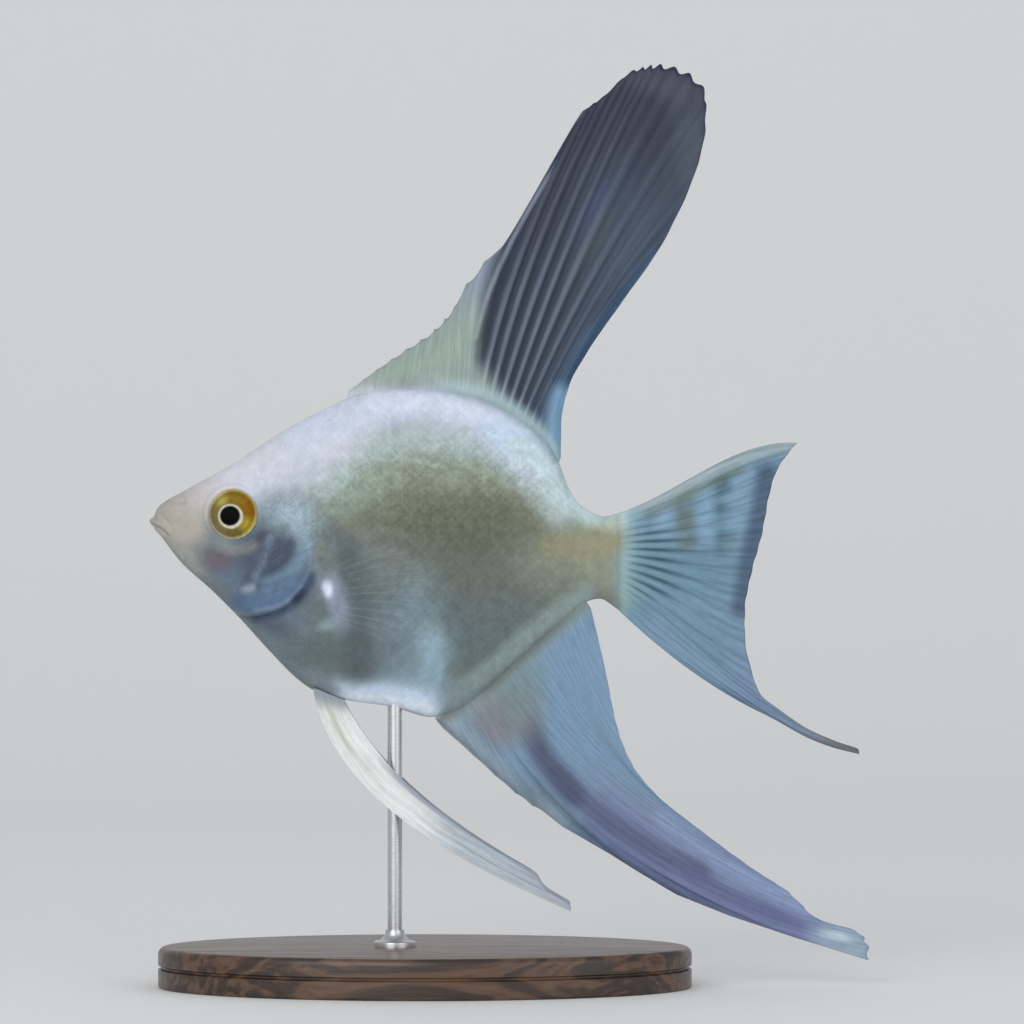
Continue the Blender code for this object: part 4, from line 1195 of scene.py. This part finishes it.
def build_scales(name, body, side, roots, length, height, thickness, material, random):
    """One piece of coat: a closed plate at each root, its rear edge free and its front sunk. Each is
    turned along the flank and varies a little in turn, size and shade."""
    outline = scale_outline()
    x, girth, row = roots.T
    station = body.station(x)
    k, i = station.astype(int), row.astype(int)
    rows_per_mm = 1 / np.abs(np.gradient(body.girth, axis=1)[k, i])
    share = np.interp(row, np.arange(RING_STEPS + 1), body.share)
    slope_above, slope_below = (np.gradient(edge(body.x), body.x)[k] for edge in (back, belly))
    slope = np.where(share > 0, share * slope_above, -share * slope_below)
    turn = np.arctan(slope) * 0.8 + random.normal(0, TURN_SPREAD, len(x))
    size = 1 + random.normal(0, SIZE_SPREAD, len(x))
    along = outline[None, :, 0] * length / 2 * size[:, None]
    across = outline[None, :, 1] * height / 2 * size[:, None]
    dx = along * np.cos(turn)[:, None] - across * np.sin(turn)[:, None]
    dg = along * np.sin(turn)[:, None] + across * np.cos(turn)[:, None]
    places, normals = body.on(body.station(x[:, None] + dx), row[:, None] - dg * rows_per_mm[:, None])
    places = places + normals * (outline[None, :, 2:3] * thickness)
    tint = body_paint(places[..., 0], places[..., 2]).rgb
    wash = body_wash(places[..., 0], places[..., 2])
    shade = (1 + random.normal(0, SHADE_SPREAD, len(x)))[:, None, None]
    rim = np.hypot(outline[:, 0], outline[:, 1])[None, :, None]
    tint = tint * shade * (1 - 0.07 * wash[..., :1] * rise(rim, 0.6, 1.0))
    patch = SCALE_PATCH * outline[None, :, :2] / np.abs(outline[:, :2]).max()
    flat = (np.stack([x, girth], axis=-1) + COAT_UNWRAP_SHIFT) / COAT_UNWRAP_SIDE
    flat = flat[:, None, :] + patch
    shell = Shell()
    lie = np.stack([x, girth, 0 * x], axis=-1)[:, None, :]
    numbers = shell.add(mirrored(places, side), tint, wash, lie, flat)
    faces = scale_faces()
    if side > 0:
        faces = faces[:, ::-1]
    shell.faces = numbers[:, faces].reshape(-1, 3).tolist()
    piece = shell.make(name, material, turn=False)
    piece.data.set_sharp_from_angle(angle=math.radians(50))
    return piece


def on_scaly_skin(x, z):
    """Where scales grow: not on the snout, the eye's surround, the lips or the pectoral root."""
    face = (x < 9.0 + 0.25 * z) | (np.hypot(x - EYE[0], z - EYE[1]) < 6.0)
    lobe = np.hypot((x - PECTORAL_LOBE[0]) / 2.2, (z - PECTORAL_LOBE[1]) / 4.6) < 1
    return ~face & ~lobe


def on_flank(x, z):
    """Where the large scales grow: behind the gill cover, and off the very back and breast."""
    past = GILL_EDGE.near(x, z, 60.0)[0]
    behind = ((past > 0.3) & (x > 24.5)) | (x > 30.0)
    behind &= x > 27.5 - 0.35 * z
    return on_scaly_skin(x, z) & behind & (z < crest(x) - 1.2) & (z > keel(x) + 1.0)


def off_flank(x, z):
    """Where the small scales grow: on the rest of the scaly skin."""
    return on_scaly_skin(x, z) & ~on_flank(x, z)


def build_coat(body, material):
    """The scales of both sides, large ones on the flank and small ones elsewhere."""
    pieces = []
    large = scale_lattice(body, spacing=0.78, pitch=1.5, wanted=on_flank)
    small = scale_lattice(body, spacing=0.52, pitch=1.0, wanted=off_flank)
    for side, word in SIDES:
        random = np.random.default_rng(RANDOM_SEED)
        for kind, roots, size in (("flank", large, LARGE_SCALE), ("small", small, SMALL_SCALE)):
            name = f"{kind}_scales_{word}"
            pieces.append(build_scales(name, body, side, roots, *size, material, random))
    return pieces


# ---- eyes
GLOBE_RADIUS = 4.75
GLOBE_RISE = 0.8  # how far the globe's middle stands out of its opening
GLOBE_BACK = 1.6  # radians from the front past which the globe has one plain tint
EYE_RIM = 0.3  # how far outside its opening an eye's plane is taken from the skin
GLOBE_BACK_TINT = (60, 56, 50)


def eye_plane():
    """The middle and the three directions (back, up, out) of the right eye's opening."""
    turns = np.linspace(0, 2 * math.pi, 24, endpoint=False)
    x = EYE[0] + (EYE_OPENING + EYE_RIM) * np.cos(turns)
    z = EYE[1] + (EYE_OPENING + EYE_RIM) * np.sin(turns)
    ring = np.stack([x, flank(x, z), z], axis=-1)
    middle = ring.mean(axis=0)
    out = np.linalg.svd(ring - middle)[2][2]
    out *= np.sign(out[1])
    backwards = np.cross(out, (0.0, 0.0, 1.0))
    backwards *= np.sign(backwards[0]) / np.linalg.norm(backwards)
    up = np.cross(out, backwards)
    return middle, backwards, up * np.sign(up[2]), out


def build_eye(side, word, material):
    """A flattened globe whose opening's circle lies in the skin, with its iris painted on."""
    depth = GLOBE_RISE / (1 - math.sqrt(1 - (EYE_OPENING / GLOBE_RADIUS) ** 2))
    middle, backwards, up, out = eye_plane()
    middle = middle + out * (GLOBE_RISE - depth)
    # Rings one degree apart as far as 100 degrees from the front, and coarser behind.
    tilt = np.radians([*range(1, 101), *np.linspace(100, 180, 14)[1:-1]])[:, None]
    turn = np.linspace(0, 2 * math.pi, 128, endpoint=False)[None, :]
    local_x = GLOBE_RADIUS * np.sin(tilt) * np.cos(turn)
    local_z = GLOBE_RADIUS * np.sin(tilt) * np.sin(turn)
    local_y = depth * np.cos(tilt) + 0.0 * turn
    places = middle + local_x[..., None] * backwards + local_z[..., None] * up
    places = places + local_y[..., None] * out
    poles = np.array([middle + depth * out, middle - depth * out])
    behind = tilt > GLOBE_BACK
    flat = np.stack([local_x, local_z], axis=-1) / GLOBE_RADIUS * np.where(behind, 0.2, 0.45)[..., None]
    tint = eye_paint(local_x, local_z).rgb
    tint[np.broadcast_to(behind, tint.shape[:2])] = GLOBE_BACK_TINT
    shell = Shell()
    from_middle = 0.12 * np.hypot(local_x, local_z)
    lie = np.stack([np.cos(turn) + 0 * tilt, np.sin(turn) + 0 * tilt, from_middle], axis=-1)
    numbers = shell.add(mirrored(places, side), tint, 0.0, lie, flat * 0.5 + 0.5)
    pole_tint = np.array([eye_paint(np.zeros(1), np.zeros(1)).rgb[0], GLOBE_BACK_TINT])
    pole_numbers = shell.add(mirrored(poles, side), pole_tint, 0.0, 0.0, np.full((2, 2), 0.5))
    closed = np.hstack([numbers, numbers[:, :1]])
    shell.weave(closed)
    for pole, ring in zip(pole_numbers, (closed[0], closed[-1])):
        shell.faces += [[int(pole), int(a), int(b)] for a, b in zip(ring[:-1], ring[1:])]
    eye = shell.make(f"eye_{word}_globe", material, "UVMap")
    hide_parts(f"eye_{word}")
    return eye


# ---- materials
class Nodes:
    """A material's node tree, built call by call. Settings may be numbers, colours or other outputs."""

    def __init__(self, name):
        self.material = bpy.data.materials.new(name)
        self.material.use_nodes = True
        self.tree = self.material.node_tree
        self.shader = self.tree.nodes["Principled BSDF"]

    def put(self, socket, value):
        if isinstance(value, bpy.types.NodeSocket):
            self.tree.links.new(value, socket)
        else:
            socket.default_value = value

    def add(self, kind, inputs=(), output=0, **settings):
        node = self.tree.nodes.new(kind)
        for name, value in settings.items():
            setattr(node, name, value)
        for key, value in dict(inputs).items():
            self.put(node.inputs[key], value)
        return node.outputs[output]

    def attribute(self, name, output="Color"):
        return self.add("ShaderNodeAttribute", output=output, attribute_name=name)

    def places(self):
        return self.add("ShaderNodeTexCoord", output="Object")

    def noise(self, places, scale, detail=2.0, roughness=0.5, distortion=0.0):
        inputs = {"Vector": places, "Scale": scale, "Detail": detail}
        inputs |= {"Roughness": roughness, "Distortion": distortion}
        return self.add("ShaderNodeTexNoise", inputs, "Fac")

    def stretched(self, places, scale):
        return self.add("ShaderNodeMapping", {"Vector": places, "Scale": scale})

    def spread(self, value, low, high, to_low, to_high):
        """The value carried smoothly from the range low to high to another."""
        inputs = {"Value": value, "From Min": low, "From Max": high}
        inputs |= {"To Min": to_low, "To Max": to_high}
        return self.add("ShaderNodeMapRange", inputs, interpolation_type="SMOOTHSTEP")

    def calculate(self, operation, one, other):
        return self.add("ShaderNodeMath", {0: one, 1: other}, operation=operation)

    def times(self, one, other):
        return self.calculate("MULTIPLY", one, other)

    def scaled(self, colour, factor):
        return self.add("ShaderNodeVectorMath", {0: colour, "Scale": factor}, operation="SCALE")

    def between(self, mask, one, other):
        """A colour that goes from one to other with the mask."""
        inputs = {0: mask, 6: one, 7: other}
        return self.add("ShaderNodeMix", inputs, 2, data_type="RGBA", clamp_factor=True)

    def softened(self, factor, mask):
        """A factor that is 1 where the mask is 0."""
        change = self.calculate("SUBTRACT", factor, 1.0)
        return self.calculate("ADD", 1.0, self.times(mask, change))

    def bumped(self, height, distance, strength=1.0):
        inputs = {"Height": height, "Distance": distance, "Strength": strength}
        return self.add("ShaderNodeBump", inputs, "Normal")

    def finish(self, **inputs):
        """The material, with these inputs of its shader set or linked."""
        for name, value in inputs.items():
            self.put(self.shader.inputs[name.replace("_", " ")], value)
        return self.material


def skin_material(name, roughness, fine_bump):
    """Moist skin: the mesh's colours with mottling, dark specks and, on fins, streaks along rays."""
    nodes = Nodes(name)
    places = nodes.places()
    lie = nodes.attribute("Lie", "Vector")
    masks = nodes.add("ShaderNodeSeparateColor", {"Color": nodes.attribute("Wash")}, "Red")
    mottled, speckled, streaked = masks.node.outputs[:3]
    blotches = nodes.noise(places, 620.0, 4.0, 0.65)
    grain = nodes.noise(places, 2600.0, 2.0)
    streaks = nodes.noise(lie, 5.0, 3.0, 0.6)
    tone = nodes.softened(nodes.spread(blotches, 0.3, 0.7, 0.8, 1.16), mottled)
    specks = nodes.softened(nodes.spread(grain, 0.3, 0.42, 0.66, 1.0), speckled)
    lines = nodes.softened(nodes.spread(streaks, 0.25, 0.75, 0.86, 1.12), streaked)
    tone = nodes.times(tone, nodes.times(specks, lines))
    height = nodes.calculate("ADD", grain, nodes.times(streaked, nodes.times(streaks, 2.0)))
    return nodes.finish(
        Base_Color=nodes.scaled(nodes.attribute("Tint"), tone),
        Roughness=nodes.spread(blotches, 0.3, 0.7, roughness - 0.05, roughness + 0.06),
        Normal=nodes.bumped(height, fine_bump),
        Specular_IOR_Level=0.2,
        Coat_Weight=0.1,
        Coat_Roughness=0.25,
    )


def clear_fin_material():
    """Nearly clear membrane, a little denser on its rays."""
    nodes = Nodes("clear fin membrane")
    masks = nodes.add("ShaderNodeSeparateColor", {"Color": nodes.attribute("Wash")}, "Red")
    streaks = nodes.noise(nodes.attribute("Lie", "Vector"), 5.0, 3.0, 0.6)
    seen = nodes.times(masks, nodes.spread(streaks, 0.2, 0.8, 0.75, 1.25))
    return nodes.finish(
        Base_Color=nodes.scaled(nodes.attribute("Tint"), nodes.spread(streaks, 0.25, 0.75, 0.92, 1.08)),
        Roughness=0.3,
        Alpha=seen,
        Normal=nodes.bumped(streaks, 0.00004),
        Coat_Weight=0.2,
        Coat_Roughness=0.15,
    )


def eye_material():
    """Painted iris under a clear, wet coat: fine fibres run out from the pupil."""
    nodes = Nodes("eye")
    fibres = nodes.noise(nodes.attribute("Lie", "Vector"), 22.0, 3.0, 0.6)
    flecks = nodes.noise(nodes.places(), 1500.0, 3.0)
    shade = nodes.spread(fibres, 0.3, 0.7, 0.86, 1.14)
    tone = nodes.times(shade, nodes.spread(flecks, 0.3, 0.7, 0.9, 1.08))
    return nodes.finish(
        Base_Color=nodes.scaled(nodes.attribute("Tint"), tone),
        Roughness=0.35,
        Normal=nodes.bumped(fibres, 0.00003),
        Specular_IOR_Level=0.02,
        Coat_Weight=0.03,
        Coat_Roughness=0.12,
    )


def wood_material():
    """Dark oiled walnut, its grain running along the base."""
    nodes = Nodes("walnut")
    along = nodes.stretched(nodes.places(), (6.0, 60.0, 60.0))
    swirl = nodes.noise(along, 1.6, 4.0, 0.6, 1.2)
    fibre = nodes.noise(nodes.stretched(nodes.places(), (40.0, 1200.0, 1200.0)), 1.0, 3.0)
    rings = nodes.calculate("SINE", nodes.times(swirl, 34.0), 0.0)
    ringed = nodes.spread(rings, -1.0, 1.0, 0.0, 1.0)
    light = nodes.between(ringed, (0.030, 0.014, 0.007, 1), (0.105, 0.052, 0.026, 1))
    return nodes.finish(
        Base_Color=nodes.scaled(light, nodes.spread(fibre, 0.3, 0.7, 0.75, 1.2)),
        Roughness=nodes.spread(fibre, 0.3, 0.7, 0.34, 0.48),
        Normal=nodes.bumped(fibre, 0.00006),
        Coat_Weight=0.3,
        Coat_Roughness=0.25,
    )


def steel_material():
    """Satin steel, brushed round."""
    nodes = Nodes("brushed steel")
    brushed = nodes.noise(nodes.stretched(nodes.places(), (60.0, 60.0, 2400.0)), 1.0, 2.0)
    return nodes.finish(
        Base_Color=nodes.between(brushed, (0.56, 0.56, 0.57, 1), (0.64, 0.64, 0.66, 1)),
        Roughness=nodes.spread(brushed, 0.3, 0.7, 0.24, 0.38),
        Normal=nodes.bumped(brushed, 0.000004),
        Metallic=1.0,
    )


def floor_material():
    """Matt and nearly white, with a faint cloudiness."""
    nodes = Nodes("pale floor")
    cloud = nodes.noise(nodes.places(), 3.0, 2.0)
    return nodes.finish(
        Base_Color=nodes.between(cloud, (0.93, 0.935, 0.94, 1), (0.95, 0.95, 0.95, 1)),
        Roughness=0.7,
    )


# ---- pectoral fins
def pectoral_paint(x, z, ray, along, on_ray):
    """Grey-blue membrane with paler rays."""
    paint = Paint(x, z, (136, 156, 166))
    paint.lay((176, 188, 198), on_ray * 0.8)
    return paint


def build_pectoral(side, word, material):
    """A thin clear fan whose root is sunk in its fleshy lobe."""
    shell = Shell()
    add_blade(
        shell, PECTORAL_FIN, 50, side, pectoral_paint, root_tint=(170, 186, 205), start=-0.06,
        root=0.4, shift=(60.0, 0.0), thin=0.06, ridge=0.12,
    )
    # Here the wash is how dense the membrane is: more on the pale rays than between them.
    red = np.concatenate(shell.blocks["tint"])[:, :1]
    shell.blocks["wash"] = [np.repeat(rise(red, 140, 170) * 0.055 + 0.035, 3, axis=1)]
    fin = shell.make(f"pectoral_fin_{word}_membrane", material, "UVMap")
    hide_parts(f"pectoral_fin_{word}")
    return fin


# ---- stand
def turned_piece(name, profile, middle, stretch, sides, material):
    """A turned shape: (radius share, height) points swept round an ellipse."""
    turns = np.linspace(0, 2 * math.pi, sides, endpoint=False)
    across, deep = stretch
    points = [
        (middle[0] + radius * across * math.cos(turn), middle[1] + radius * deep * math.sin(turn), z)
        for radius, z in profile
        for turn in turns
    ]
    rings = [range(k * sides, (k + 1) * sides) for k in range(len(profile))]
    faces = [
        (low[i], low[(i + 1) % sides], high[(i + 1) % sides], high[i])
        for low, high in zip(rings, rings[1:])
        for i in range(sides)
    ]
    faces += [tuple(rings[0]), tuple(rings[-1])]
    mesh = new_mesh(name, points, faces, material)
    mesh.set_sharp_from_angle(angle=math.radians(30))
    return new_object(name, mesh)


BASE_ROUND = 1.2 * MM  # radius of the base's rounded shoulder
FOOT_ROUND = 0.5 * MM
FERRULE_RIM = 0.7 * MM  # height of the ferrule's straight rim
FERRULE_ROUND = 0.25 * MM
FERRULE_GAP = 0.35 * MM  # between the rod and the ferrule's neck


def build_base(low, high, material):
    """A rounded foot and a rounded shoulder, with a fine bead cut into the side between them."""
    half_size = (high - low)[:2] / 2
    top = high[2]
    edge = BASE_ROUND / half_size[0]
    turns = np.radians(np.linspace(0, 90, 8))
    profile = [(1 - edge * 0.4 * (1 - math.sin(t)), FOOT_ROUND * (1 - math.cos(t))) for t in turns]
    bead = [(0, 0.45), (0.5, 0.49), (0.5, 0.52), (0, 0.56)]  # depth and height shares
    profile += [(1 - depth * edge, height * top) for depth, height in bead]
    profile += [(1 - edge * (1 - math.cos(t)), top - BASE_ROUND * (1 - math.sin(t))) for t in turns]
    return turned_piece("stand_base_wood", profile, (low + high)[:2] / 2, half_size, 192, material)


def build_ferrule(low, high, axis, rod_radius, foot, material):
    """A low rim with a rounded edge, from which a hollow curve rises to the rod."""
    outer, neck = (high - low)[0] / 2, rod_radius + FERRULE_GAP
    shoulder = foot + FERRULE_RIM + FERRULE_ROUND
    turns = np.radians(np.linspace(0, 90, 10))[1:]
    profile = [(outer, foot), (outer, foot + FERRULE_RIM)]
    profile += [
        (outer - FERRULE_ROUND * (1 - math.cos(t)), foot + FERRULE_RIM + FERRULE_ROUND * math.sin(t))
        for t in turns
    ]
    inner = outer - FERRULE_ROUND
    profile += [
        (inner - (inner - neck) * math.sin(t), shoulder + (high[2] - shoulder) * (1 - math.cos(t)))
        for t in turns
    ]
    return turned_piece("stand_ferrule_steel", profile, axis, (1.0, 1.0), 96, material)


def build_stand():
    """The base, the rod and the ferrule, each in the box of its CAD node."""
    wood, steel = wood_material(), steel_material()
    low, high = (np.array(corner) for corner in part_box("stand_base"))
    foot = high[2]
    base = build_base(low, high, wood)
    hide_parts("stand_base")

    low, high = (np.array(corner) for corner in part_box("stand_rod"))
    axis = (low + high)[:2] / 2
    radius = (high - low)[0] / 2
    profile = [(1, low[2]), (1, high[2])]
    rod = turned_piece("stand_rod_steel", profile, axis, (radius, radius), 64, steel)
    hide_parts("stand_rod")

    low, high = (np.array(corner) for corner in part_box("stand_ferrule"))
    ferrule = build_ferrule(low, high, axis, radius, foot, steel)
    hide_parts("stand_ferrule")
    return [base, rod, ferrule]


# ---- studio
VIEW_MIDDLE = (0.0150, 0.0819)  # X and Z that the camera looks at
VIEW_DISTANCE = 0.981
LENS = 200.0
SENSOR_WIDTH = 36.0


def build_camera():
    """A long lens, square on to the fish's left side."""
    data = bpy.data.cameras.new("camera")
    data.lens = LENS
    data.sensor_width = SENSOR_WIDTH
    data.clip_start = 0.01
    camera = new_object("camera", data)
    camera.location = (VIEW_MIDDLE[0], -VIEW_DISTANCE, VIEW_MIDDLE[1])
    camera.rotation_euler = (math.pi / 2, 0.0, 0.0)
    bpy.context.scene.camera = camera


LIGHT_AIM = (0.01, 0.0, 0.08)
LIGHT_SIZE = 0.9


def soft_light(name, place, power):
    """A broad lamp at a place, turned towards the fish."""
    data = bpy.data.lights.new(name, "AREA")
    data.size = LIGHT_SIZE
    data.energy = power
    lamp = new_object(name, data)
    lamp.location = place
    way = [a - b for a, b in zip(LIGHT_AIM, place)]
    tilt = math.acos(-way[2] / math.dist(LIGHT_AIM, place))
    lamp.rotation_euler = (tilt, 0.0, math.atan2(way[1], way[0]) - math.pi / 2)


BACKDROP_AT = 0.55  # where the floor begins to curve up, behind the stand
BACKDROP_CURVE = 0.6
STUDIO_REACH = 3.0  # half width of the floor, how far forward it runs, and the wall's height
SKY = (0.96, 0.98, 1.0, 1.0)
SKY_STRENGTH = 0.52


def build_backdrop():
    """A pale floor that runs forward under the camera and curves up behind into a wall."""
    turns = np.radians(np.linspace(0, 90, 25))
    profile = [(-STUDIO_REACH, 0)]
    profile += [
        (BACKDROP_AT + BACKDROP_CURVE * math.sin(turn), BACKDROP_CURVE * (1 - math.cos(turn)))
        for turn in turns
    ]
    profile.append((BACKDROP_AT + BACKDROP_CURVE, STUDIO_REACH))
    points = [(side * STUDIO_REACH, y, z) for y, z in profile for side in (-1, 1)]
    faces = [(2 * k, 2 * k + 1, 2 * k + 3, 2 * k + 2) for k in range(len(profile) - 1)]
    floor = new_object("floor", new_mesh("floor", points, faces, floor_material(), turn=False))


def build_studio():
    """The backdrop and soft light: a broad one from the front and above, a fill, and the sky."""
    build_backdrop()
    world = bpy.data.worlds.new("studio")
    world.use_nodes = True
    sky = world.node_tree.nodes["Background"]
    sky.inputs["Color"].default_value = SKY
    sky.inputs["Strength"].default_value = SKY_STRENGTH
    bpy.context.scene.world = world
    soft_light("key", (-0.45, -1.1, 0.5), 6.2)
    soft_light("fill", (0.8, -0.9, 0.2), 3.0)
    bpy.context.scene.view_settings.view_transform = "Standard"


FLESH = [
    "head", "upper_jaw", "lower_jaw", "gill_cover_left", "gill_cover_right", "trunk", "tail_stem",
    "dorsal_fin", "anal_fin", "caudal_fin", "pelvic_fin_left", "pelvic_fin_right",
]


def main():
    build_camera()
    body = Body()
    skin = build_skin(body, skin_material("skin", 0.42, 0.00002))
    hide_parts(*FLESH)
    coat = build_coat(body, skin_material("scales", 0.36, 0.00001))
    iris, clear = eye_material(), clear_fin_material()
    eyes = [build_eye(side, word, iris) for side, word in SIDES]
    pectorals = [build_pectoral(side, word, clear) for side, word in SIDES]
    for piece in [skin, *coat, *eyes, *pectorals, *build_stand()]:
        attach(piece, BODY)
    build_studio()


main()
